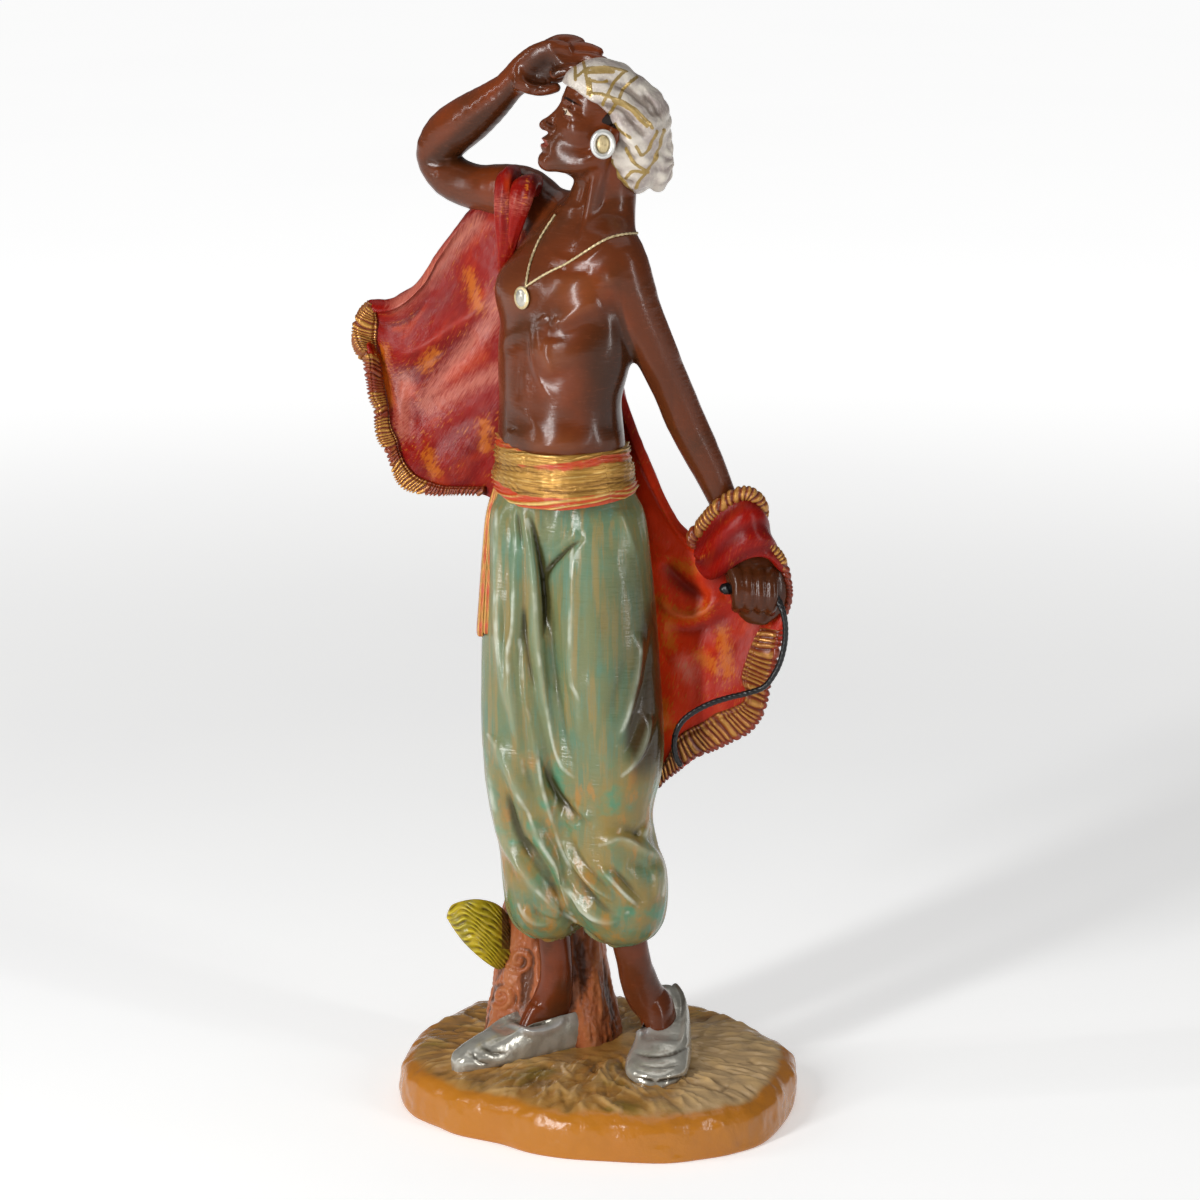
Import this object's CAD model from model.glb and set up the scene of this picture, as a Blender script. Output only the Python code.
# Presepe figure: a camel driver who shades the eyes, moulded in one and painted, with a black lead cord.
# Forms are drawn in millimetres in the part's own frame, and put into metres as each mesh is made.

import math

import bmesh
import bpy
import numpy as np
import openvdb
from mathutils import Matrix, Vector
from mathutils.bvhtree import BVHTree


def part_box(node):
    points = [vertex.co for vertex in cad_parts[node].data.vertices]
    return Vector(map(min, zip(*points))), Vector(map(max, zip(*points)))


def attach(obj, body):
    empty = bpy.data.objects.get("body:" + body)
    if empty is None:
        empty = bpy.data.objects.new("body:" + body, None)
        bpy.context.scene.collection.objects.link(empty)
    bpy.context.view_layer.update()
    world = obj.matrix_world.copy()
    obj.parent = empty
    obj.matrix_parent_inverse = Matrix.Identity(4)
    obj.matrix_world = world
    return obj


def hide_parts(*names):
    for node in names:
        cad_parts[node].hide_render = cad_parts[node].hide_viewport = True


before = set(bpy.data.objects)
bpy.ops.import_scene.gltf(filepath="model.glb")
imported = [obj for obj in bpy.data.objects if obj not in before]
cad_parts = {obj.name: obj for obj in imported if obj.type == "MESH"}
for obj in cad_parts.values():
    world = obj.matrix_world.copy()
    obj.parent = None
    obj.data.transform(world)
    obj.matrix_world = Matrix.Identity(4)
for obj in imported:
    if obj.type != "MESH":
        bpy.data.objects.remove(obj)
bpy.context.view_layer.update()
scene = bpy.context.scene

# The drawing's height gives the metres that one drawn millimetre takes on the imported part.
drawnTall = 299.703
figureLow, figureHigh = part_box("figure")
unit = (figureHigh.z - figureLow.z) / drawnTall
coarse = 1.0

# Camera
view = {"target": (0, -5, 146), "distance": 1050, "elevation": 13, "lens": 114.54, "shift": -0.0008}
tilt = math.radians(view["elevation"])
upward = np.array([0, math.sin(tilt), math.cos(tilt)])
away = np.array([0, math.cos(tilt), -math.sin(tilt)])
eye = np.array(view["target"]) - away * view["distance"]


def newObject(name, data):
    made = bpy.data.objects.new(name, data)
    scene.collection.objects.link(made)
    return made


def makeCamera():
    camera = newObject("camera", bpy.data.cameras.new("camera"))
    camera.location = Vector(eye * unit)
    camera.rotation_mode = "QUATERNION"
    camera.rotation_quaternion = Vector(away).to_track_quat("-Z", "Y")
    camera.data.sensor_width = 36
    camera.data.lens = view["lens"]
    camera.data.shift_x = view["shift"]
    camera.data.clip_start, camera.data.clip_end = 0.05, 20
    scene.camera = camera


makeCamera()


# Curves and surfaces

def along(rows, t):
    # Values part way along a list of rows: a Catmull-Rom curve through each column, t from 0 to 1.
    rows = np.asarray(rows, float)
    last = len(rows) - 1
    place = np.clip(t, 0, 1) * last
    i = np.minimum(place.astype(int), last - 1)
    f = (place - i)[..., None]
    before, here, following = rows[np.maximum(i - 1, 0)], rows[i], rows[i + 1]
    after = rows[np.minimum(i + 2, last)]
    bend = 2 * before - 5 * here + 4 * following - after
    twist = 3 * here - before - 3 * following + after
    return 0.5 * (2 * here + (following - before) * f + bend * f ** 2 + twist * f ** 3)


def spaced(rows, step):
    # The same curve at even steps of length, with the length at each place.
    dense = along(rows, np.linspace(0, 1, 60 * len(rows)))
    run = np.concatenate([[0], np.cumsum(np.linalg.norm(np.diff(dense[:, :3], axis=0), axis=1))])
    stops = np.linspace(0, run[-1], max(3, int(run[-1] / step) + 1))
    return np.stack([np.interp(stops, run, column) for column in dense.T], 1), stops


def unitRows(vectors):
    # Each vector divided by its length.
    return vectors / np.maximum(np.linalg.norm(vectors, axis=-1, keepdims=True), 1e-9)


def ease(low, high, value):
    # 0 up to low, 1 from high on, and a smooth rise between them.
    t = np.clip((value - low) / (high - low), 0, 1)
    return t * t * (3 - 2 * t)


def bell(value, width):
    # 1 at nothing, and falling away on both sides by the square of the value's share of the width.
    return np.exp(-(value / width) ** 2)


def sweep(path, across, halves, angles):
    # Rings square to a line: centre + breadth * cos(angle) * wide + thickness * sin(angle) * thin.
    run = unitRows(np.gradient(path, axis=0))
    thin = unitRows(np.cross(run, across))
    wide = np.cross(thin, run)
    ring = halves[:, None, :1] * np.cos(angles)[None, :, None] * wide[:, None]
    return path[:, None] + ring + halves[:, None, 1:] * np.sin(angles)[None, :, None] * thin[:, None]


def turns(count):
    # Angles at even steps round one turn.
    return np.linspace(0, 2 * math.pi, count, endpoint=False)


def around(count):
    return turns(int(count / coarse))


def shares(rows, columns):
    # Two grids of numbers from 0 to 1, one that grows down the rows and one that grows along them.
    stops = [np.linspace(0, 1, int(count / coarse)) for count in (rows, columns)]
    return np.meshgrid(*stops, indexing="ij")


def rounded(share, power):
    # 1 in the middle and 0 at both ends of 0 to 1, the flatter between them the greater the power.
    return np.sqrt(np.clip(1 - np.abs(2 * share - 1) ** power, 0, 1))


def gridQuads(index, wrap):
    # Faces between neighbours in a grid of point numbers, joined round at the side where it wraps.
    if wrap:
        index = np.concatenate([index, index[:, :1]], 1)
    corners = [index[:-1, :-1], index[:-1, 1:], index[1:, 1:], index[1:, :-1]]
    return np.stack(corners, -1).reshape(-1, 4)


def closedTube(rings):
    # Points and faces of a skin through rings, closed by a fan at each end.
    rows, columns = rings.shape[:2]
    index = np.arange(rows * columns).reshape(rows, columns)
    points = np.concatenate([rings.reshape(-1, 3), rings[:1].mean(1), rings[-1:].mean(1)])
    first, last = index[0], index[-1]
    low = np.stack([np.full(columns, rows * columns), np.roll(first, -1), first], 1)
    high = np.stack([np.full(columns, rows * columns + 1), last, np.roll(last, -1)], 1)
    return points, gridQuads(index, True), np.concatenate([low, high])


def closedSheet(front, back):
    # Points and faces of a thick sheet whose two faces share their outer edge.
    rows, columns = front.shape[:2]
    frontIndex = np.arange(rows * columns).reshape(rows, columns)
    backIndex = frontIndex.copy()
    inner = (rows - 2) * (columns - 2)
    backIndex[1:-1, 1:-1] = rows * columns + np.arange(inner).reshape(rows - 2, columns - 2)
    points = np.concatenate([front.reshape(-1, 3), back[1:-1, 1:-1].reshape(-1, 3)])
    quads = np.concatenate([gridQuads(frontIndex, False), gridQuads(backIndex, False)[:, ::-1]])
    return points, quads, np.zeros((0, 3), int)


def inSheet(front, back=None):
    # An array on a sheet's front, followed by its values for the back's inner points.
    inner = (front if back is None else back)[1:-1, 1:-1]
    return np.concatenate([front.reshape(-1, *front.shape[2:]), inner.reshape(-1, *inner.shape[2:])])


def capped(rings, last=0):
    # A value for each point of a tube's rings, and then for the middles of its two ends.
    return np.concatenate([np.ravel(rings), [0, last]])


def flutedTube(path, across, angles, scale):
    # A closed tube along rows of place and half sizes, each point moved from the middle line by its scale.
    centre = path[:, None, :3]
    rings = sweep(path[:, :3], across, path[:, 3:], angles)
    return closedTube(centre + (rings - centre) * scale[..., None])


def tubeFlow(run, turn):
    # Lengths along and round a tube, for paint that follows it.
    flow = np.stack([np.repeat(run, len(turn)), np.tile(turn, len(run)), np.zeros(run.size * turn.size)], 1)
    return np.concatenate([flow, flow[:2]]) * unit


def vertexNormals(points, quads, triangles):
    # The sum of the cross products of the faces round each point, made one long.
    total = np.zeros_like(points)
    for faces in (quads, triangles):
        corners = points[faces]
        normal = np.cross(corners[:, 2] - corners[:, 0], corners[:, -1] - corners[:, 1])
        if faces.shape[1] == 3:
            normal = np.cross(corners[:, 1] - corners[:, 0], corners[:, 2] - corners[:, 0])
        for k in range(faces.shape[1]):
            for axis in range(3):
                total[:, axis] += np.bincount(faces[:, k], normal[:, axis], len(points))
    return unitRows(total)


def outward(points, quads, triangles):
    # Turns every face when the skin's volume comes out negative.
    split = np.concatenate([quads[:, [0, 1, 2]], quads[:, [0, 2, 3]], triangles])
    a, b, c = (points[split[:, k]] for k in range(3))
    if (a * np.cross(b, c)).sum() < 0:
        return quads[:, ::-1], triangles[:, ::-1]
    return quads, triangles


def makePiece(name, shell, material, carving=None, values=None):
    # A finished piece from a shell in drawn millimetres: its points, quads and triangles. Carving gives each
    # point's height along its normal, and its values are kept as attributes for the paint.
    points = shell[0]
    quads, triangles = outward(*shell)
    values = dict(values or {})
    if carving is not None:
        normals = vertexNormals(points, quads, triangles)
        height, more = carving(points, normals)
        points = points + normals * height[:, None]
        values.update(more, relief=height)
    mesh = bpy.data.meshes.new(name)
    faces = [quads.ravel(), triangles.ravel()]
    starts = np.concatenate([np.arange(len(quads)) * 4, quads.size + np.arange(len(triangles)) * 3])
    mesh.vertices.add(len(points))
    mesh.vertices.foreach_set("co", (points * unit).astype(np.float32).ravel())
    mesh.loops.add(quads.size + triangles.size)
    mesh.loops.foreach_set("vertex_index", np.concatenate(faces).astype(np.int32))
    mesh.polygons.add(len(starts))
    mesh.polygons.foreach_set("loop_start", starts.astype(np.int32))
    mesh.update(calc_edges=True)
    mesh.validate()
    mesh.polygons.foreach_set("use_smooth", np.ones(len(mesh.polygons), bool))
    for key, array in values.items():
        kind = "FLOAT_VECTOR" if array.ndim == 2 else "FLOAT"
        attribute = mesh.attributes.new(key, kind, "POINT")
        attribute.data.foreach_set("vector" if array.ndim == 2 else "value", array.astype(np.float32).ravel())
    mesh.materials.append(material)
    piece = newObject(name, mesh)
    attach(piece, "root")
    print(f"{name}: {len(quads) * 2 + len(triangles)} triangles")
    return piece


def figurePiece(*details, **more):
    piece = makePiece(*details, **more)
    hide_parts("figure")
    return piece


# Hand-drawn strokes on the seen view

def seen(points):
    # Across and up, in millimetres, as the camera sees a place.
    offset = points - np.array(view["target"])
    depth = view["distance"] + offset @ away
    return points[..., 0] * view["distance"] / depth, (offset @ upward) * view["distance"] / depth


def placeSeen(across, up, y):
    # The place at a depth y which the camera sees at across and up.
    far, near = view["distance"], y - view["target"][1]
    rise = (up * (far + near * upward[2]) - far * near * upward[1]) / (far * upward[2] + up * upward[1])
    depth = far + near * upward[2] - rise * upward[1]
    return np.stack(np.broadcast_arrays(across * depth / far, y, view["target"][2] + rise), -1)


def placedRows(rows):
    # Rows of across, up and depth y, then sizes, with the places put in for the first three.
    rows = np.array(rows, float)
    return np.concatenate([placeSeen(rows[:, 0], rows[:, 1], rows[:, 2]), rows[:, 3:]], 1)


def nearLine(across, up, line, reach):
    # Points within reach of a smooth line: their numbers, distances and places along it, from 0 to 1.
    path, run = spaced(np.reshape(line, (-1, 2)), 0.8)
    low, high = path.min(0) - reach, path.max(0) + reach
    inside = (across > low[0]) & (across < high[0]) & (up > low[1]) & (up < high[1])
    found = np.flatnonzero(inside)
    a, b = across[found], up[found]
    best, place = np.full(len(found), 1e9), np.zeros(len(found))
    for i in range(len(path) - 1):
        step = path[i + 1] - path[i]
        share = np.clip(((a - path[i, 0]) * step[0] + (b - path[i, 1]) * step[1]) / (step @ step), 0, 1)
        distance = np.hypot(a - path[i, 0] - share * step[0], b - path[i, 1] - share * step[1])
        closer = distance < best
        best[closer] = distance[closer]
        place[closer] = (run[i] + share[closer] * (run[i + 1] - run[i])) / run[-1]
    return found, best, place


def drawn(rows):
    # Strokes from rows of width, height or, if negative, depth, then across and up of each point in turn.
    return [(np.reshape(points, (-1, 2)), width, height) for width, height, *points in rows]


def strokes(across, up, lines):
    # Height of strokes: a crest or a crease along each line, sharpest in its middle, fading to its ends.
    total = np.zeros(len(across))
    for line, width, height in lines:
        found, distance, place = nearLine(across, up, line, 3.2 * width)
        fade = 1 - np.abs(2 * place - 1) ** 3
        crest = np.exp(-(np.hypot(distance, 0.45 * width) - 0.45 * width) / (0.75 * width))
        total[found] += height * fade * crest * ease(3.2 * width, 1.4 * width, distance)
    return total


def painted(across, up, lines, width):
    # How close a point is to any of the lines: 1 on a line, 0 from twice the width on.
    total = np.zeros(len(across))
    for line in lines:
        found, distance, _ = nearLine(across, up, line, 2 * width)
        total[found] = np.maximum(total[found], np.clip(1 - distance / (2 * width), 0, 1))
    return total


def lattice(points, size, seed):
    # Smooth noise from -1 to 1: random values at the corners of cells of a size, blended between them.
    values = np.random.default_rng(seed).uniform(-1, 1, (32, 32, 32))
    place = np.asarray(points) / size
    cell = np.floor(place).astype(int)
    f = place - cell
    f = f * f * (3 - 2 * f)
    total = 0
    for dx in (0, 1):
        for dy in (0, 1):
            for dz in (0, 1):
                corner = values[(cell[:, 0] + dx) % 32, (cell[:, 1] + dy) % 32, (cell[:, 2] + dz) % 32]
                weight = (f[:, 0] if dx else 1 - f[:, 0]) * (f[:, 1] if dy else 1 - f[:, 1])
                total = total + corner * weight * (f[:, 2] if dz else 1 - f[:, 2])
    return total


# Forms built up from rounded masses, in a box of distances to the skin
meshSteps = {"skin": 0.57, "trousers": 0.53, "turban": 0.42}


def startForm(low, high, step):
    # An empty box, with every place in it well outside any mass.
    axes = [np.arange(a, b + step, step, dtype=np.float32) for a, b in zip(low, high)]
    distances = np.full([len(axis) for axis in axes], 9.0, np.float32)
    return {"axes": axes, "step": step, "distances": distances}


def addMass(form, low, high, soft, distance):
    # Joins a mass on with a fillet: the lesser of two distances, less soft * h * (1 - h) where they meet.
    parts = []
    for axis, a, b in zip(form["axes"], low, high):
        start = max(0, int(np.searchsorted(axis, a - soft - 3)))
        parts.append(slice(start, max(start + 1, int(np.searchsorted(axis, b + soft + 3)))))
    x, y, z = (axis[part] for axis, part in zip(form["axes"], parts))
    new = distance(x[:, None, None], y[None, :, None], z[None, None, :]).astype(np.float32)
    old = form["distances"][tuple(parts)]
    h = np.clip(0.5 + 0.5 * (old - new) / soft, 0, 1)
    form["distances"][tuple(parts)] = old * (1 - h) + new * h - soft * h * (1 - h)


def toOval(local, halves):
    # About the distance to an oval: k0 * (k0 - 1) / k1, from the scaled length k0 and its slope k1.
    k0 = np.sqrt(sum((a / h) ** 2 for a, h in zip(local, halves)))
    k1 = np.sqrt(sum((a / h ** 2) ** 2 for a, h in zip(local, halves)))
    return k0 * (k0 - 1) / np.maximum(k1, 1e-6)


def addBall(form, centre, halves, soft, axes=None):
    # An oval round a centre, on axes of its own.
    axes = np.eye(3) if axes is None else np.asarray(axes)
    halves = np.asarray(halves, float)

    def distance(x, y, z):
        offset = (x - centre[0], y - centre[1], z - centre[2])
        return toOval([sum(axis[k] * offset[k] for k in range(3)) for axis in axes], halves)

    reach = halves.max()
    addMass(form, np.array(centre) - reach, np.array(centre) + reach, soft, distance)


def addLimb(form, rows, across, soft):
    # A limb along a smooth line of rows x, y, z, half breadth, half thickness: the least of the distances
    # to its short tapering stretches.
    rows = [row if len(row) > 4 else (*row, row[3]) for row in rows]
    stops = along(rows, np.linspace(0, 1, 3 * (len(rows) - 1) + 1))
    reach = stops[:, 3:].max() + 0.5
    low, high = stops[:, :3].min(0) - reach, stops[:, :3].max(0) + reach

    def distance(x, y, z):
        best = None
        for a, b in zip(stops[:-1], stops[1:]):
            run = b[:3] - a[:3]
            length = np.linalg.norm(run)
            run = run / length
            thin = np.cross(run, across)
            thin = thin / np.linalg.norm(thin)
            wide = np.cross(thin, run)
            offset = (x - a[0], y - a[1], z - a[2])
            forward = sum(run[k] * offset[k] for k in range(3))
            t = np.clip(forward / length, 0, 1)
            breadth, thickness = a[3] + t * (b[3] - a[3]), a[4] + t * (b[4] - a[4])
            local = (sum(wide[k] * offset[k] for k in range(3)) / breadth,
                     sum(thin[k] * offset[k] for k in range(3)) / thickness,
                     (forward - t * length) / np.minimum(breadth, thickness))
            k0 = np.sqrt(local[0] ** 2 + local[1] ** 2 + local[2] ** 2)
            slope = (local[0] / breadth) ** 2 + (local[1] / thickness) ** 2
            k1 = np.sqrt(slope + (local[2] / np.minimum(breadth, thickness)) ** 2)
            here = k0 * (k0 - 1) / np.maximum(k1, 1e-6)
            best = here if best is None else np.minimum(best, here)
        return best

    addMass(form, low, high, soft, distance)


def addStack(form, rows, soft):
    # Upright ovals, rows of z, x, y, half breadth, half depth and turn, measured level by level.
    dense = along(rows, np.linspace(0, 1, 300))
    reach = dense[:, 3:5].max()
    low = (dense[:, 1].min() - reach, dense[:, 2].min() - reach, dense[0, 0])
    high = (dense[:, 1].max() + reach, dense[:, 2].max() + reach, dense[-1, 0])

    def distance(x, y, z):
        cx, cy, breadth, depth, turn = (np.interp(z[0, 0], dense[:, 0], dense[:, k]) for k in range(1, 6))
        cos, sin = np.cos(np.radians(turn)), np.sin(np.radians(turn))
        side = (x - cx) * cos - (y - cy) * sin
        front = -(x - cx) * sin - (y - cy) * cos
        level = toOval((side, front), (breadth, depth))
        return np.maximum(level, np.maximum(low[2] - z, z - high[2]))

    addMass(form, low, high, soft, distance)


def skinOfForm(form):
    # The faces where the distance comes to nothing.
    band = 3 * form["step"]
    grid = openvdb.FloatGrid(band)
    grid.copyFromArray(np.clip(form["distances"], -band, band))
    points, _, quads = grid.convertToPolygons(isovalue=0.0, adaptivity=0.0)
    points = points * form["step"] + np.array([axis[0] for axis in form["axes"]])
    return points.astype(float), quads.astype(int), np.zeros((0, 3), int)


# Paint

def tone(red, green, blue):
    # A paint colour from its red, green and blue, out of 255 as a picture shows them.
    shares = np.array([red, green, blue]) / 255
    straight = np.where(shares <= 0.04045, shares / 12.92, ((shares + 0.055) / 1.055) ** 2.4)
    return (*straight, 1)


def feed(tree, socket, value):
    # Gives an input its value, or joins it to the output that makes it.
    if isinstance(value, bpy.types.NodeSocket):
        tree.links.new(value, socket)
    else:
        socket.default_value = value


def put(tree, kind, settings=None, **inputs):
    # Adds a shader node. An input's name has _ for a blank, and n0, n1 ... stand for inputs by number.
    made = tree.nodes.new("ShaderNode" + kind)
    for name, value in (settings or {}).items():
        setattr(made, name, value)
    for name, value in inputs.items():
        feed(tree, made.inputs[int(name[1:]) if name[1:].isdigit() else name.replace("_", " ")], value)
    return made


def noiseAt(tree, place, scale, detail=3, **more):
    return put(tree, "TexNoise", None, Vector=place, Scale=scale, Detail=detail, **more).outputs[0]


def spread(tree, value, most=1):
    # Noise from 0 to 1 spread out to each side of nothing.
    return put(tree, "MapRange", None, Value=value, To_Min=-most, To_Max=most).outputs[0]


def maskAt(tree, value, low, high):
    # 0 up to low, 1 from high on, and a smooth rise between them.
    return put(tree, "MapRange", {"interpolation_type": "SMOOTHSTEP"}, Value=value, From_Min=low,
               From_Max=high).outputs[0]


def sums(tree, operation, a, b):
    return put(tree, "Math", {"operation": operation}, n0=a, n1=b).outputs[0]


def stretched(tree, given):
    made = put(tree, "VectorMath", {"operation": "MULTIPLY"}, n0=given["Vector"], n1=given["Stretch"])
    return made.outputs[0]


def newGroup(name, work, given, outputs):
    # A group whose inputs are numbers, or vectors where the value given isn't a number. Its work turns them
    # into the outputs.
    group = bpy.data.node_groups.new(name, "ShaderNodeTree")
    for label, value in given.items():
        kind = "Float" if isinstance(value, (int, float)) else "Vector"
        socket = group.interface.new_socket(label, in_out="INPUT", socket_type="NodeSocket" + kind)
        if value is not None:
            socket.default_value = value
    for label in outputs:
        group.interface.new_socket(label, in_out="OUTPUT", socket_type="NodeSocketFloat")
    made = work(group, group.nodes.new("NodeGroupInput").outputs)
    out = group.nodes.new("NodeGroupOutput").inputs
    for label, result in zip(outputs, made):
        group.links.new(result, out[label])
    return group


def streakWork(group, given):
    # Drag marks of a brush: noise drawn out along one direction, cut to a mask.
    noise = noiseAt(group, stretched(group, given), 1, 4, Roughness=0.6)
    return maskAt(group, noise, given["Least"], given["Most"]), noise


def wearWork(group, given):
    # Recess and ridge from the carving's height, broken up by noise so that edges look hand-rubbed.
    shift = spread(group, noiseAt(group, given["Vector"], 900))
    total = sums(group, "ADD", sums(group, "MULTIPLY", shift, given["Break"]), given["Relief"])
    share = sums(group, "DIVIDE", total, given["Depth"])
    return maskAt(group, share, -0.1, -1), maskAt(group, share, 0.15, 1)


def varnishWork(group, given):
    # Uneven gloss, and the fine ripple that a brushed varnish keeps.
    patches = spread(group, noiseAt(group, given["Vector"], 140))
    gloss = sums(group, "ADD", sums(group, "MULTIPLY", patches, given["Uneven"]), given["Gloss"])
    return gloss, noiseAt(group, stretched(group, given), 1)


groups = {
    "streaks": newGroup("brushStreaks", streakWork, {
        "Vector": None, "Stretch": (1500, 1500, 120), "Least": 0.5, "Most": 0.7}, ("Mask", "Height")),
    "wear": newGroup("carvedWear", wearWork, {
        "Relief": 0, "Vector": None, "Depth": 1, "Break": 0.4}, ("Recess", "Ridge")),
    "varnish": newGroup("brushedVarnish", varnishWork, {
        "Vector": None, "Gloss": 0.3, "Uneven": 0.15, "Stretch": (1400, 1400, 260)}, ("Roughness", "Height")),
}


class Finish:
    # One painted finish: a ground colour, then layers of other colours through masks, then varnish. It reads
    # the piece's flow where it follows the surface, and Object coordinates elsewhere.

    def __init__(self, name, ground, flows=False):
        self.material = bpy.data.materials.new(name)
        self.material.use_nodes = True
        self.tree = self.material.node_tree
        self.tree.nodes.clear()
        self.place = self.read("flow", "Vector") if flows else put(self.tree, "TexCoord").outputs["Object"]
        self.colour = tone(*ground)
        self.metal = 0.0

    def read(self, name, output="Fac"):
        return put(self.tree, "Attribute", {"attribute_name": name}).outputs[output]

    def group(self, kind, **inputs):
        made = self.tree.nodes.new("ShaderNodeGroup")
        made.node_tree = groups[kind]
        for name, value in {"Vector": self.place, **inputs}.items():
            feed(self.tree, made.inputs[name], value)
        return made.outputs

    def streaks(self, stretch, least, most):
        return self.group("streaks", Stretch=stretch, Least=least, Most=most)

    def noise(self, scale, low, high, detail=4):
        return maskAt(self.tree, noiseAt(self.tree, self.place, scale, detail), low, high)

    def cut(self, value, low, high, broken=0.0, scale=1500):
        # A mask from a value or a named attribute, with an edge that noise breaks up.
        value = self.read(value) if isinstance(value, str) else value
        if broken:
            rough = noiseAt(self.tree, self.place, scale)
            value = self.sums("ADD", value, spread(self.tree, rough, broken))
        return maskAt(self.tree, value, low, high)

    def sums(self, operation, a, b):
        return sums(self.tree, operation, a, b)

    def both(self, a, b):
        return self.sums("MULTIPLY", a, b)

    def layer(self, colour, mask, strength=1.0):
        amount = mask if strength == 1 else self.both(mask, strength)
        mixed = put(self.tree, "Mix", {"data_type": "RGBA"}, n0=amount, n6=self.colour, n7=tone(*colour))
        self.colour = mixed.outputs[2]

    def mottle(self, colour, scale, low, high, strength=1.0):
        self.layer(colour, self.noise(scale, low, high), strength)

    def wear(self, depth, broken):
        return self.group("wear", Relief=self.read("relief"), Depth=depth, Break=broken)

    def rub(self, depth, broken, recess, ridge):
        # Dark paint left in the recesses and pale paint rubbed on the ridges: red, green, blue and strength.
        worn = self.wear(depth, broken)
        self.layer(recess[:3], worn["Recess"], recess[3])
        self.layer(ridge[:3], worn["Ridge"], ridge[3])

    def gild(self, mask, metal=0.7):
        # Makes the masked places metal paint.
        self.metal = self.both(mask, metal)

    def finish(self, gloss, uneven=0.08, shine=0.4, ripple=0.25, stretch=(1400, 1400, 260), grain=None,
               depth=0):
        # Varnish over it all: a fine ripple drawn out by its stretch, and brush marks of the grain's depth.
        varnish = self.group("varnish", Gloss=gloss, Uneven=uneven, Stretch=stretch)
        shader = put(self.tree, "BsdfPrincipled", None, Base_Color=self.colour, Metallic=self.metal,
                     Roughness=varnish["Roughness"], Specular_IOR_Level=shine)
        total = self.both(varnish["Height"], ripple)
        if grain:
            total = self.sums("ADD", total, self.both(grain["Height"], depth))
        bump = put(self.tree, "Bump", None, Strength=1, Distance=0.001, Height=total)
        self.tree.links.new(bump.outputs[0], shader.inputs["Normal"])
        output = self.tree.nodes.new("ShaderNodeOutputMaterial")
        self.tree.links.new(shader.outputs[0], output.inputs[0])
        return self.material


def skinPaint():
    paint = Finish("skinPaint", (89, 42, 19))
    paint.mottle((110, 47, 16), 45, 0.45, 0.72)
    paint.mottle((70, 38, 20), 60, 0.48, 0.74, 0.85)
    paint.layer((52, 27, 11), paint.cut("dusk", 0.05, 0.95, 0.1, 200), 0.85)
    paint.rub(1.6, 0.1, (46, 24, 14, 0.7), (128, 72, 40, 0.35))
    fine = paint.streaks((420, 420, 1300), 0.55, 0.75)
    paint.layer((120, 62, 38), fine["Mask"], 0.25)
    paint.layer((124, 60, 46), paint.cut("lips", 0.35, 0.7))
    paint.layer((30, 18, 14), paint.cut("hair", 0.4, 0.6, 0.2, 2500))
    paint.layer((28, 15, 11), paint.cut("brow", 0.3, 0.7, 0.15, 2500))
    paint.layer((190, 172, 150), paint.cut("eyeWhite", 0.4, 0.6))
    paint.layer((26, 16, 11), paint.cut("iris", 0.4, 0.6))
    return paint.finish(0.21, 0.08, 0.28, 0.07, (260, 260, 1500))


def trouserPaint():
    # Sage with teal, in upright streaks above and in patches below, with ochre that shows through, and brown
    # where the cloak hangs close behind.
    paint = Finish("trouserPaint", (106, 112, 76))
    paint.mottle((82, 114, 90), 60, 0.46, 0.66, 0.75)
    broad = paint.streaks((420, 420, 30), 0.48, 0.64)
    paint.layer((140, 116, 66), broad["Mask"], 0.65)
    fine = paint.streaks((900, 900, 60), 0.5, 0.7)
    paint.layer((80, 122, 108), fine["Mask"], 0.45)
    low = paint.cut("low", 0.3, 0.8, 0.2, 200)
    paint.layer((134, 112, 58), paint.both(low, paint.noise(80, 0.42, 0.66)), 0.85)
    short = paint.streaks((190, 190, 90), 0.52, 0.66)
    paint.layer((160, 112, 50), paint.both(low, short["Mask"]), 0.7)
    paint.layer((62, 126, 98), paint.both(low, paint.noise(105, 0.53, 0.68)), 0.8)
    paint.layer((64, 72, 52), paint.read("dusk"), 0.6)
    paint.layer((50, 31, 4), paint.cut("shade", 0.05, 0.9, 0.22, 170), 0.92)
    paint.rub(1.3, 0.15, (54, 50, 20, 0.95), (152, 158, 130, 0.35))
    crest = paint.cut("crest", 0.2, 1, 0.2, 700)
    paint.layer((200, 205, 190), paint.both(crest, paint.noise(95, 0.46, 0.62, 2)), 0.55)
    return paint.finish(0.21, 0.06, 0.37, 0.12, (240, 240, 1500), fine, 0.05)


def cloakPaint():
    paint = Finish("cloakPaint", (130, 14, 7), flows=True)
    paint.mottle((100, 10, 10), 42, 0.45, 0.62, 0.9)
    paint.mottle((166, 50, 14), 75, 0.52, 0.68, 0.8)
    paint.layer((222, 56, 18), paint.read("fresh"), 0.85)
    flecks = paint.streaks((1500, 500, 1), 0.56, 0.66)
    paint.layer((184, 104, 30), paint.both(flecks["Mask"], paint.noise(90, 0.45, 0.62)), 0.8)
    strands = paint.streaks((3200, 360, 1), 0.5, 0.68)
    paint.layer((186, 66, 40), strands["Mask"], 0.25)
    glow = paint.both(paint.read("glow"), flecks["Height"])
    paint.layer((192, 104, 22), paint.cut(glow, 0.2, 0.5, 0.25, 900), 0.65)
    pale = paint.both(paint.read("pale"), strands["Height"])
    paint.layer((204, 130, 110), paint.cut(pale, 0.16, 0.56, 0.12, 900), 0.5)
    paint.layer((74, 40, 26), paint.cut("shade", 0.25, 0.9, 0.15, 400), 0.55)
    paint.rub(1.6, 0.2, (84, 14, 14, 0.7), (196, 80, 62, 0.35))
    return paint.finish(0.28, 0.08, 0.15, 0.07, (2200, 300, 1), strands, 0.03)


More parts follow.
